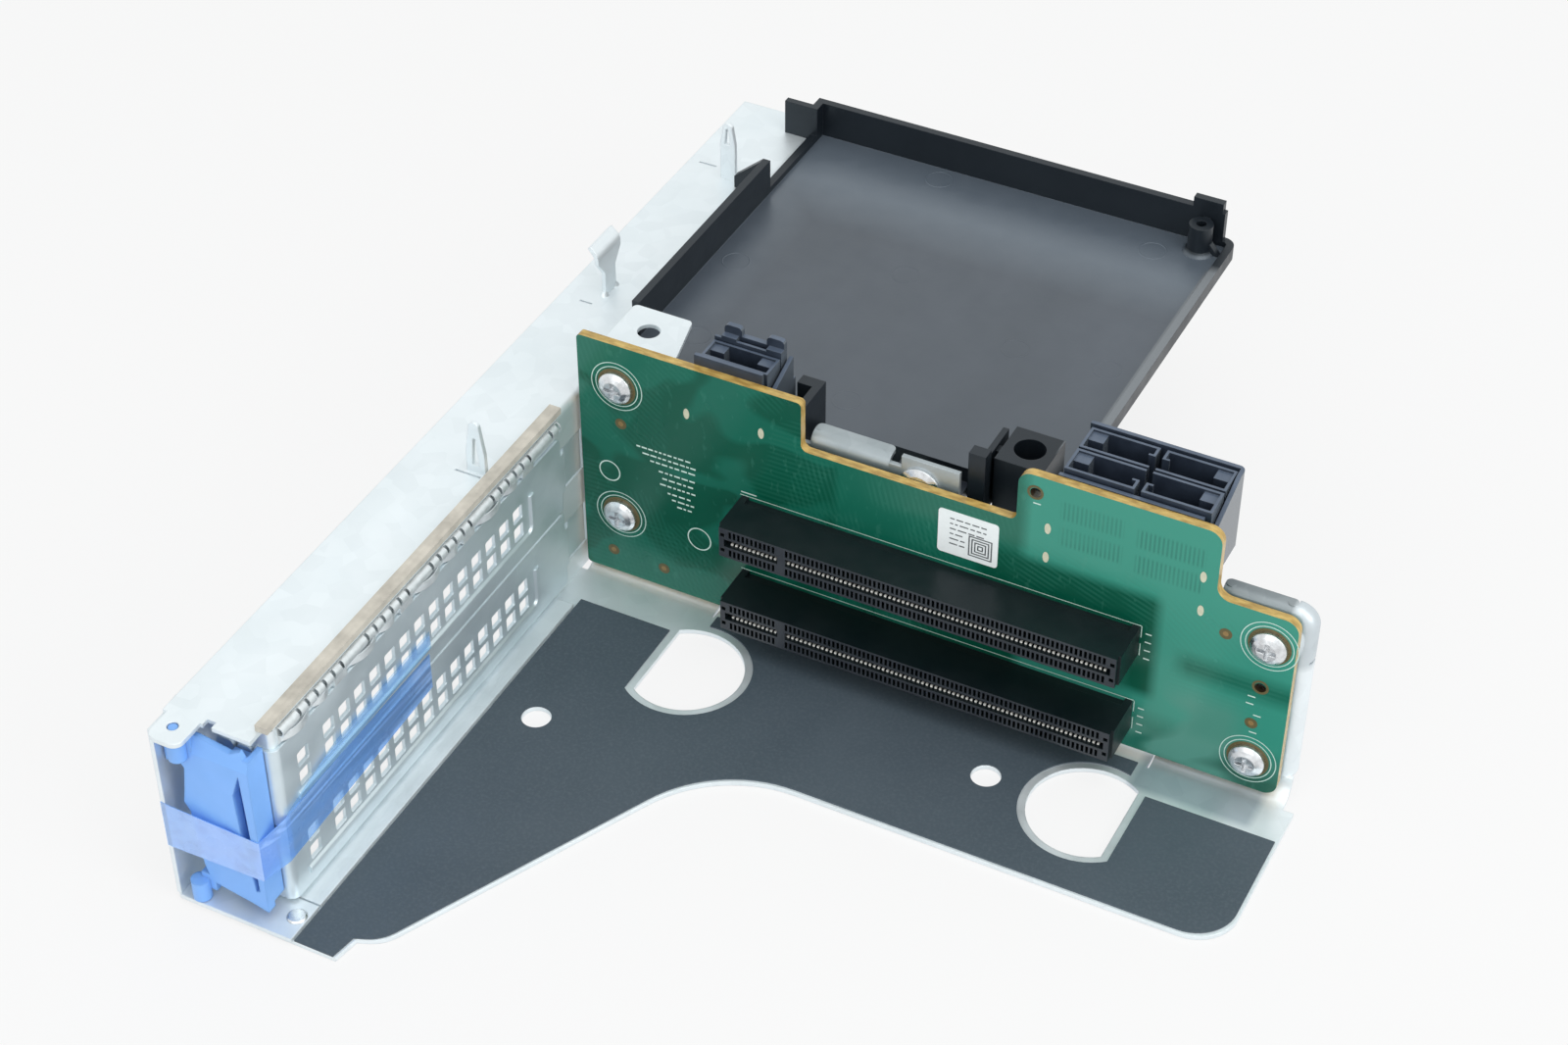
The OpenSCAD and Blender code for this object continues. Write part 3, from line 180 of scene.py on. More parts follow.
    def patch(self, x0, x1, z0, z1, soft=0.5):
        """Mask of a rectangle on the board, in the board's millimetres."""
        low, high, soft = at(x0, 0, z0), at(x1, 0, z1), soft * MM
        x, z = self.axis("X"), self.axis("Z")
        return self.both(self.span(x, low.x - soft, low.x + soft),
                         self.span(x, high.x - soft, high.x + soft, 1.0, 0.0),
                         self.span(z, low.z - soft, low.z + soft),
                         self.span(z, high.z - soft, high.z + soft, 1.0, 0.0))

    def block(self, low, high, soft=1.0):
        """Mask of a box in the board's millimetres, with a soft edge."""
        masks = []
        for letter, a, b in zip("XYZ", at(*low), at(*high)):
            value = self.axis(letter)
            masks += [self.span(value, a - soft * MM, a + soft * MM),
                      self.span(value, b - soft * MM, b + soft * MM, 1.0, 0.0)]
        return self.both(*masks)

    def lines(self, period, turn=0.0, low=0.45, high=0.6):
        """Parallel lines over X and Z, period metres apart, turned about Y."""
        wave = self.node("ShaderNodeTexWave", Scale=1.0, Distortion=0.0)
        wave.bands_direction = "X"
        scale = math.pi / 10.0 / period
        self.link(self.mapped((scale,) * 3, (0.0, turn, 0.0)), wave.inputs["Vector"])
        return self.span(wave.outputs["Fac"], low, high)

    def color(self, socket):
        """Feeds the base colour."""
        self.link(socket, self.bsdf.inputs["Base Color"])
        return self

    def rough(self, value, low, high):
        """Roughness between low and high, from a noise."""
        self.link(self.span(value, 0.3, 0.7, low, high), self.bsdf.inputs["Roughness"])
        return self

    def bump(self, value, depth, strength=1.0):
        """Bump of depth metres, stacked on any earlier one."""
        made = self.node("ShaderNodeBump", Strength=strength, Distance=depth)
        self.link(value, made.inputs["Height"])
        if self.height is not None:
            self.link(self.height, made.inputs["Normal"])
        self.height = made.outputs["Normal"]
        self.link(self.height, self.bsdf.inputs["Normal"])
        return self

    def surface(self, factor, first, second):
        """Shows a blend of two shaders instead of the plain principled one."""
        blend = self.node("ShaderNodeMixShader")
        for socket, source in zip(blend.inputs, (factor, first, second)):
            self.link(source, socket)
        out = next(n for n in self.nodes if n.type == "OUTPUT_MATERIAL")
        self.link(blend.outputs[0], out.inputs["Surface"])
        return self


def galvanised(name, dark, light, rough, grain, spangle=0.12, metal=0.65, painted_shade_boxes=()):
    """Zinc-coated sheet: faint spangle, rolling lines and cloudy patches, with painted shade
    darkening the given boxes.
    """
    s = Shader(name, light, rough, metal=metal, edge=0.0003)
    flakes = s.cells(0.0040)
    cloud = s.noise(0.025, 4.0, distort=0.4)
    tone = s.mix(s.span(cloud, 0.3, 0.7), dark, light)
    # painted shade: inside each box the sheet colour is darkened by its factor
    for low, high, shade in painted_shade_boxes:
        tone = s.mix(s.both(s.block(low, high), s.span(cloud, 0.2, 0.7, 1.0, 0.75)), tone,
                     tuple(c * k for c, k in zip(dark, shade)))
    s.color(s.mix(spangle, tone, s.ramp(flakes, [(0.0, 0.55), (1.0, 1.0)])))
    s.rough(s.noise(0.010, 5.0), rough - 0.07, rough + 0.10)
    s.bump(s.noise(0.0006, 2.0, stretch=grain), 0.00002, 0.35)
    s.bump(s.noise(0.012, 2.0), 0.00025, 0.15)
    return s.mat


def moulded(name, color, rough, grain=0.0005, depth=0.00003, variation=0.12, specular=0.5,
            ior=1.5, edge=0.0002, sheen=(1.0, 1.0, 1.0)):
    """Moulded plastic: fine spark-eroded grain and a slight cloudiness."""
    s = Shader(name, color, rough, specular=specular, edge=edge)
    s.set("IOR", ior).sheen(sheen)
    pale = tuple(min(1.0, c * (1.0 + variation) + 0.003) for c in color)
    deep = tuple(c * (1.0 - variation) for c in color)
    s.color(s.mix(s.span(s.noise(0.02, 4.0), 0.3, 0.7), deep, pale))
    s.rough(s.noise(0.006, 4.0), rough - 0.06, rough + 0.08)
    s.bump(s.noise(grain, 2.0), depth, 0.4)
    return s.mat


def tray_material():
    """Black tray: the floor is painted paler for its satin sheen, a painted reflection, walls and
    posts are near black.
    """
    s = Shader("tray_plastic", (0.010, 0.015, 0.022), 0.34, edge=0.0002)
    s.set("IOR", 2.0).sheen((0.84, 0.93, 1.0))
    level = at(0, 0, TRAY_FLOOR).z
    floor = s.both(s.facing("Z"), s.span(s.axis("Z"), level + 0.0004, level + 0.0008, 1.0, 0.0))
    tone = s.mix(s.span(s.noise(0.02, 4.0), 0.3, 0.7), (0.007, 0.010, 0.014),
                 (0.011, 0.015, 0.020))
    # painted reflection: the up-facing floor takes this paler colour instead of the walls' near
    # black
    pale = s.mix(s.span(s.noise(0.03, 4.0, stretch=(1.0, 0.5, 1.0)), 0.3, 0.7),
                 (0.012, 0.017, 0.027), (0.030, 0.037, 0.052))
    x, y = s.axis("X"), s.axis("Y")
    # painted reflection: the floor is painted paler towards the back and left walls, and its
    # right rim gets a painted highlight
    back = s.span(y, at(0, 80, 0).y, at(0, 95, 0).y)
    left = s.span(x, at(5, 0, 0).x, at(15, 0, 0).x, 0.6, 0.0)
    pale = s.mix(s.math("MAXIMUM", back, left), pale, (0.080, 0.100, 0.125))
    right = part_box("tray")[1][0]
    # painted highlight along the tray's right rim
    painted_highlight_rim = s.both(s.facing("Z"), s.span(x, right - 0.0030, right - 0.0026),
                 s.span(y, at(0, 16, 0).y, at(0, 19, 0).y),
                 s.span(y, at(0, 100, 0).y, at(0, 103, 0).y, 1.0, 0.0))
    s.color(s.mix(painted_highlight_rim, s.mix(floor, tone, pale), (0.13, 0.14, 0.15)))
    s.link(s.span(s.math("MAXIMUM", floor, painted_highlight_rim), 0.0, 1.0, 0.16, 0.5),
           s.bsdf.inputs["Specular IOR Level"])
    s.rough(s.noise(0.006, 4.0), 0.30, 0.42)
    s.bump(s.noise(0.0006, 2.0), 0.00004, 0.4)
    return s.mat


def slot_material():
    """Black card slot plastic, with a painted highlight greying the ribbed face between the
    pockets.
    """
    s = Shader("slot_plastic", (0.006, 0.010, 0.012), 0.36, specular=0.38, edge=0.0002)
    s.sheen((0.85, 0.97, 1.0))
    cloud = s.span(s.noise(0.012, 4.0), 0.3, 0.7)
    side = s.mix(cloud, (0.004, 0.008, 0.010), (0.008, 0.012, 0.014))
    mouth = s.span(s.axis("Y"), at(0, -11.1, 0).y, at(0, -10.9, 0).y, 1.0, 0.0)
    face = s.both(s.facing("Y"), mouth)
    # painted highlight: the front face at the mouth is painted greyer than the sides
    s.color(s.mix(face, side, s.mix(cloud, (0.024, 0.027, 0.034), (0.036, 0.040, 0.049))))
    s.rough(s.noise(0.006, 4.0), 0.30, 0.44)
    s.bump(s.noise(0.0005, 2.0), 0.00003, 0.4)
    return s.mat


def shell_material():
    """Blue-black connector plastic: polished sides painted a paler grey, and a painted highlight
    on the rims where it faces up.
    """
    s = Shader("connector_plastic", (0.026, 0.036, 0.056), 0.36, edge=0.0002)
    s.set("IOR", 1.6).sheen((0.85, 0.94, 1.0))
    worn = s.noise(0.004, 3.0)
    deep = s.mix(s.span(worn, 0.3, 0.7), (0.018, 0.025, 0.040), (0.030, 0.041, 0.063))
    painted_highlight_rim = s.mix(s.span(worn, 0.3, 0.7), (0.062, 0.084, 0.125), (0.090, 0.116, 0.165))
    # painted light: sides facing X get a paler grey, up-facing tops the painted highlight colour
    side = s.facing("X")
    s.color(s.mix(s.facing("Z"), s.mix(side, deep, (0.075, 0.090, 0.108)), painted_highlight_rim))
    s.link(s.span(side, 0.0, 1.0, 0.36, 0.20), s.bsdf.inputs["Roughness"])
    s.bump(s.noise(0.0005, 2.0), 0.00003, 0.35)
    return s.mat


def bright_metal(name, color, rough, size=0.0015, dark=0.72, edge=0.00015, metal=1.0):
    """Plated metal with a faint fine grain and handling marks."""
    s = Shader(name, color, rough, metal=metal, edge=edge)
    worn = s.noise(size, 4.0)
    s.color(s.mix(s.span(worn, 0.35, 0.7), tuple(c * dark for c in color), color))
    s.rough(s.noise(size * 2.0, 3.0), rough - 0.05, rough + 0.12)
    s.bump(s.noise(0.0003, 2.0), 0.00001, 0.3)
    return s.mat


def contact_material():
    """Contact springs: near white at the tip by the mouth, partly plating and partly a painted
    glint, and painted shade towards their foot.
    """
    s = Shader("contact_metal", (0.95, 0.94, 0.90), 0.30, specular=0.6)
    tip = at(0, -9.95, 0).y
    worn = s.span(s.noise(0.0004, 2.0), 0.35, 0.65, 0.0, 0.2)
    tone = s.mix(worn, (0.95, 0.94, 0.90), (0.70, 0.66, 0.55))
    # painted shade: near black behind the tip, towards the foot inside the slot
    s.color(s.mix(s.span(s.axis("Y"), tip - 0.0001, tip + 0.0001), tone, (0.09, 0.08, 0.06)))
    return s.mat


def printed(name, color, rough, wear=0.25):
    """Ink, paper or bare metal printed on a board, a little uneven."""
    s = Shader(name, color, rough, specular=0.4)
    s.color(s.mix(s.span(s.noise(0.0009, 3.0), 0.35, 0.65, 0.0, wear), color,
                  tuple(c * 0.6 for c in color)))
    s.rough(s.noise(0.003, 3.0), rough - 0.08, rough + 0.08)
    s.bump(s.noise(0.0004, 2.0), 0.00001, 0.3)
    return s.mat


def film_material():
    """Slate grey insulating film with a fine matt grain and soft scuffs."""
    s = Shader("film_grey", (0.06, 0.08, 0.10), 0.5, specular=0.45)
    fleck = s.noise(0.0007, 2.0)
    cloud = s.noise(0.05, 4.0)
    base = s.mix(s.span(cloud, 0.3, 0.7), (0.047, 0.067, 0.085), (0.065, 0.088, 0.109))
    s.color(s.mix(s.span(fleck, 0.45, 0.75, 0.0, 0.5), base, (0.090, 0.114, 0.134)))
    s.rough(s.noise(0.02, 4.0), 0.44, 0.60)
    s.bump(fleck, 0.00003, 0.5)
    s.bump(s.noise(0.03, 2.0), 0.0003, 0.2)
    return s.mat


def board_material():
    """Solder mask over copper pours and bundles of traces, with bare amber cut edges, a painted
    reflection over the right half, and painted shade at the lower right and in the holes.
    """
    s = Shader("solder_mask", (0.02, 0.14, 0.09), 0.28, specular=0.5)
    deep, field, pour_and_sheen = (0.002, 0.083, 0.048), (0.006, 0.125, 0.080), (0.034, 0.262, 0.192)
    blot = s.noise(0.022, 1.0, stretch=(1.0, 1.0, 1.4), distort=0.6)
    tone = s.mix(s.span(blot, 0.47, 0.53), deep, field)
    tone = s.mix(s.patch(60, 101, 33, 60, 1.0), tone, field)
    # paler right half: copper pour under the mask, and a painted reflection of the pale
    # surroundings
    tone = s.mix(s.patch(101.5, 170, -5, 70, 1.5), tone, pour_and_sheen)
    tone = s.mix(s.both(s.patch(92, 131, 17, 43, 1.4), s.span(blot, 0.25, 0.4)), tone, deep)
    tone = s.mix(s.patch(136, 170, 26, 31, 2.0), tone, field)
    # painted shade along the board's lower right, above the carrier's ramp
    tone = s.mix(s.patch(128, 170, -6, 9, 5.0), tone, deep)
    tone = s.mix(s.both(s.patch(128, 150, 0, 22, 3.0), s.span(blot, 0.5, 0.6)), tone,
                 (0.070, 0.260, 0.200))
    # traces: comb-like rows under the connectors, fans beside them, and loose bundles
    comb = s.lines(0.0009)
    for x0, x1, z0, z1 in ((109, 122, 55.5, 60), (125, 139, 54.5, 59), (109, 122, 49, 53.5),
                           (125, 139, 48, 52.5)):
        tone = s.mix(s.both(comb, s.patch(x0, x1, z0, z1, 0.4), s.span(blot, 0.3, 0.5, 0.3, 0.7)),
                     tone, (0.016, 0.160, 0.118))
    for turn, x0, x1, z0, z1 in ((1.20, 100, 131, 36, 47), (0.85, 131, 148, 30, 44),
                                 (1.571, 134, 158, 22, 32), (0.25, 50, 88, 36, 50)):
        tone = s.mix(s.both(s.lines(0.0012, turn), s.patch(x0, x1, z0, z1, 2.5),
                            s.span(s.noise(0.016, 1.0), 0.42, 0.5, 0.0, 0.22)),
                     tone, (0.035, 0.210, 0.150))
    for turn, seed in ((0.3, 0.021), (0.9, 0.017), (1.571, 0.026)):
        tone = s.mix(s.both(s.lines(0.0012, turn), s.patch(0, 100, 0, 70, 1.0),
                            s.span(s.noise(seed, 0.0), 0.55, 0.58, 0.0, 0.20)),
                     tone, (0.020, 0.170, 0.115))
    flecks = s.noise(0.0016, 2.0, stretch=(1.0, 1.0, 0.5))
    tone = s.mix(s.span(flecks, 0.62, 0.72, 0.0, 0.18), tone, (0.060, 0.260, 0.190))
    fibre = s.noise(0.0008, 3.0, stretch=(0.3, 1.0, 0.3))
    edge = s.mix(s.span(fibre, 0.35, 0.7), (0.34, 0.21, 0.055), (0.60, 0.42, 0.13))
    # painted shade: the cut edge is near black round the holes, for the shade in their bores
    for x, z in HOLES:
        edge = s.mix(s.patch(x - 1.6, x + 1.6, z - 1.6, z + 1.6, 0.1), edge, (0.05, 0.03, 0.015))
    s.color(s.mix(s.facing("Y"), edge, tone))
    s.rough(s.noise(0.015, 3.0), 0.18, 0.28)
    s.bump(s.noise(0.0020, 2.0), 0.00003, 0.25)
    s.sheen((0.75, 0.95, 0.90))
    return s.mat


def woven(name, color):
    """Conductive cloth round a foam core."""
    s = Shader(name, color, 0.75, specular=0.3)
    wave = s.node("ShaderNodeTexWave", Scale=1.0, Distortion=0.4)
    s.link(s.mapped((260.0, 260.0, 260.0)), wave.inputs["Vector"])
    s.color(s.mix(s.span(s.noise(0.004, 3.0), 0.3, 0.7), tuple(c * 0.82 for c in color),
                  tuple(min(1.0, c * 1.15) for c in color)))
    s.bump(wave.outputs["Fac"], 0.00008, 0.5)
    return s.mat


def tape_material(name="clear_tape", milk=0.38):
    """Clear blue film, milkier across the latch where its front is painted paler for glare;
    painted fold highlights streak it where it runs along the fillers.
    """
    s = Shader(name, (0.42, 0.58, 0.90), 0.22, specular=0.6)
    crease_and_highlight = s.noise(0.006, 3.0, stretch=(1.0, 0.25, 1.0), distort=0.8)
    fold_highlight_noise = s.noise(0.0022, 1.0, stretch=(1.0, 0.03, 1.0))
    front = s.span(s.math("MULTIPLY", s.axis("Y", "Normal"), -1.0), 0.3, 0.7)
    # painted glare: the front-facing tape over the latch is painted paler than along the side
    tone = s.mix(front, (0.27, 0.52, 1.0), (0.44, 0.61, 0.95))
    # painted highlight: lighter colour along the creases
    s.color(s.mix(s.span(crease_and_highlight, 0.35, 0.7, 0.0, 0.3), tone, (0.56, 0.70, 1.0)))
    s.rough(s.noise(0.004, 3.0), 0.16, 0.34)
    s.bump(crease_and_highlight, 0.0004, 0.3)
    clear = s.node("ShaderNodeBsdfTransparent", Color=(0.72, 0.88, 1.0, 1.0))
    body = s.math("ADD", s.math("MULTIPLY", front, 0.28), milk)
    # painted fold highlights: milkier streaks along the side of the tape
    painted_fold_highlight = s.both(s.span(front, 0.0, 1.0, 1.0, 0.0), s.span(fold_highlight_noise, 0.52, 0.62, 0.0, 0.35))
    body = s.math("ADD", body, painted_fold_highlight)
    s.surface(body, clear.outputs[0], s.bsdf.outputs[0])
    return s.mat


# Painted shade on folds of the base and carrier: boxes where the sheet colour is darkened for
# shade, two corners and a shaded stretch
PAINTED_SHADE_BOXES = (((51.0, 2.5, 49.5), (90.0, 12.0, 62.0), (0.32, 0.35, 0.36)),
        ((131.0, -9.0, -2.0), (157.0, 1.5, 7.0), (0.50, 0.56, 0.62)),
        ((135.0, 2.5, 41.5), (157.0, 12.0, 52.0), (0.11, 0.14, 0.15)),
        ((157.0, 2.5, 34.0), (166.0, 12.0, 50.0), (0.62, 0.64, 0.66)))

MATERIALS = {
    "sheet": galvanised("galvanised_sheet", (0.76, 0.83, 0.86), (0.83, 0.89, 0.92), 0.44,
                        (1.0, 0.05, 1.0), 0.09, painted_shade_boxes=PAINTED_SHADE_BOXES),
    "filler": galvanised("filler_steel", (0.64, 0.74, 0.79), (0.78, 0.87, 0.91), 0.42,
                         (1.0, 0.04, 1.0), 0.06, 0.75),
    "film": film_material(),
    "board": board_material(),
    "slot": slot_material(),
    "shell": shell_material(),
    "tray": tray_material(),
    "latch": moulded("latch_plastic", (0.195, 0.415, 0.850), 0.42, variation=0.06,
                     edge=0.0005),
    "tape": tape_material(),
    "lifted": tape_material("lifted_tape", 0.12),
    "spring": bright_metal("spring_steel", (0.78, 0.83, 0.85), 0.38, dark=0.85, metal=0.6),
    "zinc": bright_metal("zinc_plate", (0.88, 0.90, 0.92), 0.24, edge=0.0003),
    "contact": contact_material(),
    "pin": bright_metal("pin_metal", (0.72, 0.70, 0.64), 0.35, 0.0005),
    "gasket": woven("gasket_cloth", (0.52, 0.49, 0.43)),
    "paper": printed("label_paper", (0.86, 0.90, 0.90), 0.50, 0.06),
    "ink": printed("label_ink", (0.10, 0.11, 0.12), 0.60, 0.5),
    "silk": printed("board_silkscreen", (0.62, 0.80, 0.72), 0.55, 0.35),
    "ring": printed("board_ring", (0.58, 0.78, 0.70), 0.50, 0.35),
    "copper": printed("bare_copper", (0.30, 0.19, 0.07), 0.35, 0.5),
    "laminate": printed("bare_laminate", (0.13, 0.105, 0.040), 0.45, 0.5),
    "tin": printed("tinned_pad", (0.62, 0.62, 0.46), 0.35, 0.3),
}

NODE_MATERIALS = {
    "base_plate": "sheet", "io_frame": "sheet", "insulating_film": "film",
    "filler_upper": "filler", "filler_lower": "filler", "emi_finger_strip": "spring",
    "gasket_strip": "gasket", "latch": "latch", "latch_tape": "tape",
    "frame_rivet": "zinc", "circuit_board": "board", "slot_upper": "slot",
    "slot_lower": "slot", "contacts_upper": "contact", "contacts_lower": "contact",
    "board_screws": "zinc", "board_label": "paper", "small_shroud": "shell",
    "small_port": "shell", "small_lock": "shell", "quad_shroud": "shell",
    "quad_port_1": "shell", "quad_port_2": "shell", "quad_port_3": "shell",
    "quad_port_4": "shell", "tray": "tray", "tray_screw": "zinc",
}


def dress_nodes():
    """Gives every node of the part its procedural material."""
    for name, key in NODE_MATERIALS.items():
        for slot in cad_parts[name].material_slots:
            slot.material = MATERIALS[key]


# ---- small pieces -----------------------------------------------------------

class Sheet:
    """Thin print or metal gathered into one mesh, laid on a face of the part."""

    def __init__(self):
        self.points = []
        self.faces = []

    def add(self, points):
        start = len(self.points)
        self.points += [tuple(p) for p in points]
        return start

    def strip(self, outer, inner):
        """Closed band between two rings of the same number of points."""
        n = len(outer)
        a, b = self.add(outer), self.add(inner)
        for i in range(n):
            j = (i + 1) % n
            self.faces.append((a + i, a + j, b + j, b + i))

    def panel(self, points):
        start = self.add(points)
        self.faces.append(tuple(range(start, start + len(points))))

    def box(self, low, high):
        """Closed block between two corners in metres."""
        x0, y0, z0 = low
        x1, y1, z1 = high
        a = self.add([(x0, y0, z0), (x1, y0, z0), (x1, y1, z0), (x0, y1, z0),
                      (x0, y0, z1), (x1, y0, z1), (x1, y1, z1), (x0, y1, z1)])
        for face in ((0, 3, 2, 1), (4, 5, 6, 7), (0, 1, 5, 4), (1, 2, 6, 5), (2, 3, 7, 6),
                     (3, 0, 4, 7)):
            self.faces.append(tuple(a + i for i in face))

    def piece(self, name, material, slot):
        mesh = bpy.data.meshes.new(name)
        mesh.from_pydata(self.points, [], self.faces)
        mesh.update()
        obj = bpy.data.objects.new(name, mesh)
        bpy.context.scene.collection.objects.link(obj)
        mesh.materials.append(MATERIALS[material])
        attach(obj, "root")
        return obj


# How far the print stands before the board's face, in millimetres
PRINT = -0.03
# Lower edges of the two card slots' frames, and the ends of those frames
SLOT_ROWS = (10.6, 30.92)
FRAME_LEFT, FRAME_RIGHT = 38.0, 127.8
# Rows of small print: height and start of each, and where they all end
PRINT_ROWS = ((38.7, 13.4), (37.2, 14.8), (35.7, 16.6), (33.6, 18.6), (31.9, 19.4),
              (30.2, 18.8), (28.3, 20.6), (26.8, 21.6), (25.3, 22.8))
PRINT_END = 26.4
TICKS = ((103.0, 57.3), (150.8, 26.0), (150.6, 24.0), (152.4, 21.3), (152.0, 16.6))
OVALS = ((6.6, 29.5, 2.7), (28.0, 18.6, 3.0))
TEST_MARKS = ((144.8, 40.0), (152.2, 19.1), (9.8, 43.3), (6.7, 7.4), (19.1, 6.8))
PADS = ((25.6, 51.7), (42.9, 52.8), (106.4, 52.0), (106.4, 44.6), (139.0, 52.4),
        (139.2, 43.8))
EJECTORS = ((50.4, 24.5), (6.5, 58.2), (33.2, 108.0), (87.4, 104.0), (74.7, 56.8),
            (95.0, 59.1), (42.2, 70.7), (12.0, 30.0))


def ring_points(x, z, r, y=PRINT, squash=1.0, turns=64):
    """Points of a circle on the board's face, clockwise seen from the front."""
    return [at(x + r * squash * math.cos(a), y, z + r * math.sin(a))
            for a in (2 * math.pi * i / turns for i in range(turns))]


def bar(sheet, x0, z0, x1, z1, y=PRINT):
    """Printed rectangle on the board's face."""
    sheet.panel([at(x0, y, z0), at(x1, y, z0), at(x1, y, z1), at(x0, y, z1)])


def print_board():
    """Rings, frames and ticks of the silkscreen, bare copper and tinned pads."""
    silk, ring, copper, bare, tin = Sheet(), Sheet(), Sheet(), Sheet(), Sheet()
    for x, z in SCREWS:
        ring.strip(ring_points(x, z, 6.05), ring_points(x, z, 5.85))
        ring.strip(ring_points(x, z, 5.05), ring_points(x, z, 4.85))
        bare.strip(ring_points(x, z, 4.5), ring_points(x, z, 3.3))
    # plain outline ovals left of the slots
    for x, z, r in OVALS:
        silk.strip(ring_points(x, z, r, squash=0.95), ring_points(x, z, r - 0.3, squash=0.95))
    # frames of the two slots: a line along the top, a bracket and ticks at the right end
    for low in SLOT_ROWS:
        top = low + 4.1
        bar(silk, FRAME_LEFT, top - 0.18, FRAME_RIGHT, top)
        bar(silk, FRAME_RIGHT - 0.2, low + 1.0, FRAME_RIGHT, top)
        bar(silk, FRAME_RIGHT - 0.2, low - 3.8, FRAME_RIGHT, low - 0.6)
        for k in range(4):
            z = low + 2.2 - 2.2 * k
            bar(silk, FRAME_RIGHT + 0.8, z, FRAME_RIGHT + 2.1, z + 0.32)
    bar(silk, FRAME_LEFT + 0.2, 35.6, FRAME_LEFT + 3.8, 35.9)
    for x, z in TICKS:
        bar(silk, x, z, x + 1.6, z + 0.3)
    # rows of short dashes for small print
    rng = random.Random(7)
    for z, x in PRINT_ROWS:
        while x < PRINT_END:
            length = rng.uniform(0.6, 1.6)
            bar(silk, x, z, x + length, z + 0.42)
            x += length + rng.uniform(0.3, 0.5)
    # round marks and plated holes
    for x, z in TEST_MARKS:
        bare.strip(ring_points(x, z, 1.35, turns=24), ring_points(x, z, 0.6, turns=24))
        copper.panel(ring_points(x, z, 0.6, turns=24)[::-1])
    for x, z in HOLES:
        bare.strip(ring_points(x, z, 1.75), ring_points(x, z, 1.22))
    for x, z in PADS:
        tin.panel(ring_points(x, z, 1.35, PRINT - 0.005, 0.5, 24)[::-1])
    silk.piece("silkscreen_marks", "silk", "board_laminate")
    ring.piece("silkscreen_rings", "ring", "board_laminate")
    copper.piece("bare_copper_marks", "copper", "board_laminate")
    bare.piece("bare_laminate_marks", "laminate", "board_laminate")
    tin.piece("tinned_pads", "tin", "board_laminate")


def square(x, y, z, side, inset):
    """Corners of an upright square, drawn in from a side at x and z, in metres."""
    a, b = inset, side - inset
    return [(x + a, y, z + a), (x + b, y, z + a), (x + b, y, z + b), (x + a, y, z + b)]


def print_label():
    """Grey bars and nested squares on the label, which stand for its print."""
    low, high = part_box("board_label")
    marks = Sheet()
    y = low[1] - 0.00003
    rng = random.Random(3)
    for row in range(6):
        z = high[2] - 0.0020 - row * 0.0013
        x = low[0] + 0.0026
        end = high[0] - (0.0026 if row < 3 else 0.0072)
        while x < end - 0.0006:
            length = min(rng.uniform(0.0006, 0.0022), end - x)
            marks.panel([(x, y, z), (x + length, y, z), (x + length, y, z + 0.0003),
                         (x, y, z + 0.0003)])
            x += length + 0.0004
    x, z, side = high[0] - 0.0064, low[2] + 0.0012, 0.0052
    for k in range(4):
        inset = k * side / 8
        marks.strip(square(x, y, z, side, inset), square(x, y, z, side, inset + side / 18))
    marks.piece("label_marks", "ink", "label_paper")


def add_pins():
    """Two rows of pin tips on the tongue of every cable socket."""
    pins = Sheet()
    count = 8
    for name in ("quad_port_1", "quad_port_2", "quad_port_3", "quad_port_4", "small_port"):
        low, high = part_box(name)
        mid_y = (low[1] + high[1]) / 2 - 0.0014
        top = low[2] + 0.0096
        x0, x1 = low[0] + 0.0048, high[0] - 0.0048
        for i in range(count):
            x = x0 + (x1 - x0) * (i + 0.5) / count
            for y in (mid_y - 0.00065, mid_y + 0.00065):
                pins.box((x - 0.00016, y - 0.00012, top - 0.0003),
                         (x + 0.00016, y + 0.00012, top + 0.0004))
    pins.piece("socket_pins", "pin", "contact_metal")


def mark_tray():
    """Faint round ejector marks on the tray's floor."""
    marks = Sheet()
    z = TRAY_FLOOR + 0.06
    turns = 40
    for x, y in EJECTORS:
        rings = [[at(x + r * math.cos(a), y + r * math.sin(a), h)
                  for a in (2 * math.pi * i / turns for i in range(turns))]
                 for r, h in ((3.3, z - 0.05), (3.2, z), (3.0, z), (2.9, z - 0.05))]
        for outer, inner in zip(rings, rings[1:]):
            marks.strip(outer, inner)
    marks.piece("ejector_marks", "tray", "tray_plastic")


def lift_tape():
    """Upper edge of the tape, which bridges the filler's bead and lies over its windows."""
    edge = Sheet()
    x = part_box("latch_tape")[1][0]
    front, length, foot_low, foot_climb = -113.0, 51.0, 24.4, 1.4
    steps = 12
    rows = []
    for i in range(steps + 1):
        t = i / steps
        foot = at(0, front + length * t, foot_low + foot_climb * t)
        rise = 0.0016 + 0.0038 * min(1.0, 3.0 * t)
        rows.append([(x, foot.y, foot.z), (x + 0.0006, foot.y, foot.z + 0.0009),
                     (x + 0.0005, foot.y, foot.z + rise)])
    for near, far in zip(rows, rows[1:]):
        for k in range(2):
            edge.panel([near[k], far[k], far[k + 1], near[k + 1]])
    edge.piece("tape_edge", "lifted", "clear_tape")


# ---- stage ------------------------------------------------------------------

def seen_by(s):
    """1 for rays that show the surroundings: straight, mirrored or through film."""
    path = s.node("ShaderNodeLightPath")
    return s.math("MAXIMUM", s.math("MAXIMUM", path.outputs["Is Camera Ray"],
                                    path.outputs["Is Glossy Ray"]),
                  path.outputs["Is Transmission Ray"])


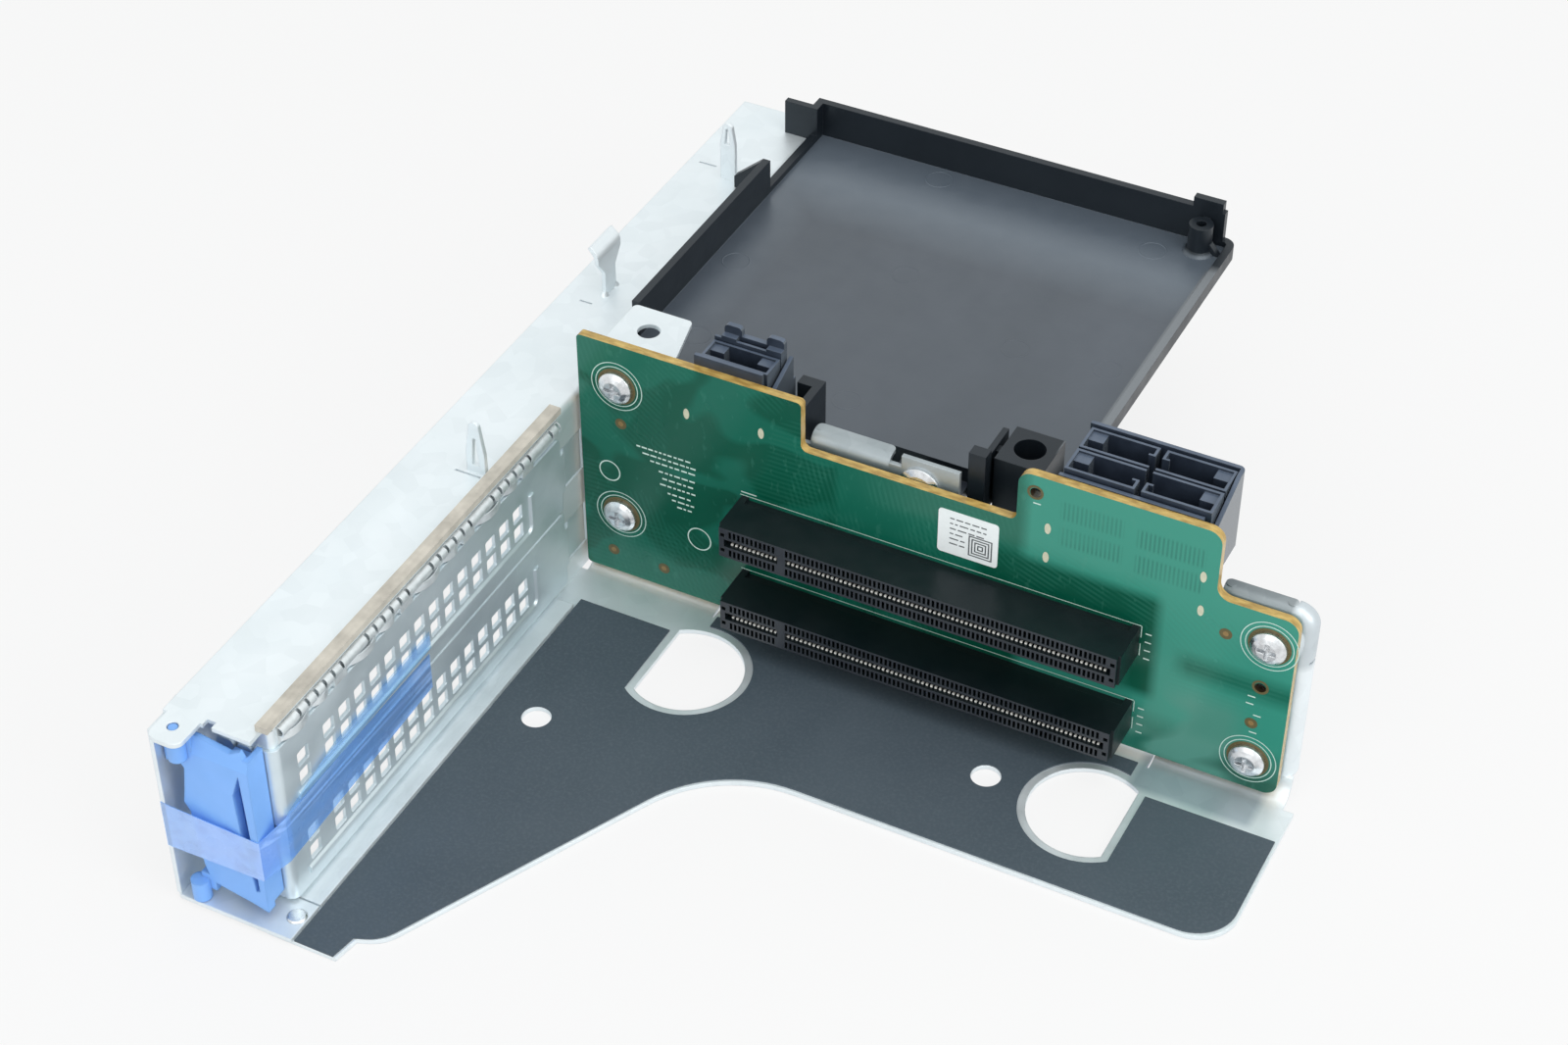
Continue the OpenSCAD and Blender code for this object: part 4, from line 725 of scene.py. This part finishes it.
def floor_material():
    """White floor: matt for the object's light, near white with a soft shadow when seen."""
    s = Shader("floor_white", (0.86, 0.87, 0.88), 0.9, specular=0.1)
    glow = s.node("ShaderNodeEmission", Color=(0.985, 0.985, 0.985, 1.0), Strength=0.80)
    matt = s.node("ShaderNodeBsdfDiffuse", Color=(0.14, 0.14, 0.14, 1.0))
    both = s.node("ShaderNodeAddShader")
    s.link(glow.outputs[0], both.inputs[0])
    s.link(matt.outputs[0], both.inputs[1])
    s.surface(seen_by(s), s.bsdf.outputs[0], both.outputs[0])
    return s.mat


WORLD_LIGHT = 0.80


def add_stage():
    """Floor just under the object, and an even pale world round it."""
    mesh = bpy.data.meshes.new("floor")
    half = 6.0
    mesh.from_pydata([(-half, -half, 0), (half, -half, 0), (half, half, 0), (-half, half, 0)],
                     [], [(0, 1, 2, 3)])
    floor = bpy.data.objects.new("floor", mesh)
    floor.location = (0, 0, -0.0002)
    bpy.context.scene.collection.objects.link(floor)
    floor.data.materials.append(floor_material())

    world = bpy.data.worlds.new("studio")
    bpy.context.scene.world = world
    world.use_nodes = True
    tree = world.node_tree
    back = tree.nodes["Background"]
    back.inputs["Color"].default_value = (0.96, 0.98, 0.98, 1.0)
    path = tree.nodes.new("ShaderNodeLightPath")
    most = tree.nodes.new("ShaderNodeMath")
    most.operation = "MAXIMUM"
    tree.links.new(path.outputs["Is Camera Ray"], most.inputs[0])
    tree.links.new(path.outputs["Is Glossy Ray"], most.inputs[1])
    level = tree.nodes.new("ShaderNodeMapRange")
    level.inputs["To Min"].default_value = WORLD_LIGHT
    level.inputs["To Max"].default_value = 1.0
    tree.links.new(most.outputs[0], level.inputs["Value"])
    tree.links.new(level.outputs["Result"], back.inputs["Strength"])


def add_light(name, place, target, size, watts):
    """Soft square lamp that faces a target."""
    lamp = bpy.data.lights.new(name, "AREA")
    lamp.size = size
    lamp.energy = watts
    obj = bpy.data.objects.new(name, lamp)
    obj.location = place
    obj.rotation_euler = (Vector(target) - Vector(place)).to_track_quat("-Z", "Y").to_euler()
    bpy.context.scene.collection.objects.link(obj)


def add_lights():
    """A key lamp overhead and two softer ones from the right and the front."""
    add_light("key", (0.30, -0.20, 1.00), (0, 0, 0.02), 0.7, 3.0)
    add_light("fill_right", (0.95, -0.30, 0.55), (0, 0, 0.03), 0.6, 3.4)
    add_light("fill_front", (-0.10, -0.95, 0.60), (0, 0, 0.03), 0.6, 1.6)


def add_camera():
    """Long lens from the front right, 40 degrees above the floor."""
    cam = bpy.data.cameras.new("camera")
    cam.sensor_width = 36.0
    cam.lens = 69.69
    cam.clip_start = 0.01
    obj = bpy.data.objects.new("camera", cam)
    forward = Vector((-0.34624, 0.67809, -0.64832))
    obj.location = at(266.47, -427.50, 439.79)
    obj.rotation_euler = forward.to_track_quat("-Z", "Y").to_euler()
    bpy.context.scene.collection.objects.link(obj)
    bpy.context.scene.camera = obj


# ---- run --------------------------------------------------------------------

dress_nodes()
print_board()
print_label()
add_pins()
mark_tray()
lift_tape()
add_stage()
add_lights()
add_camera()
bpy.context.scene.view_settings.view_transform = "Standard"
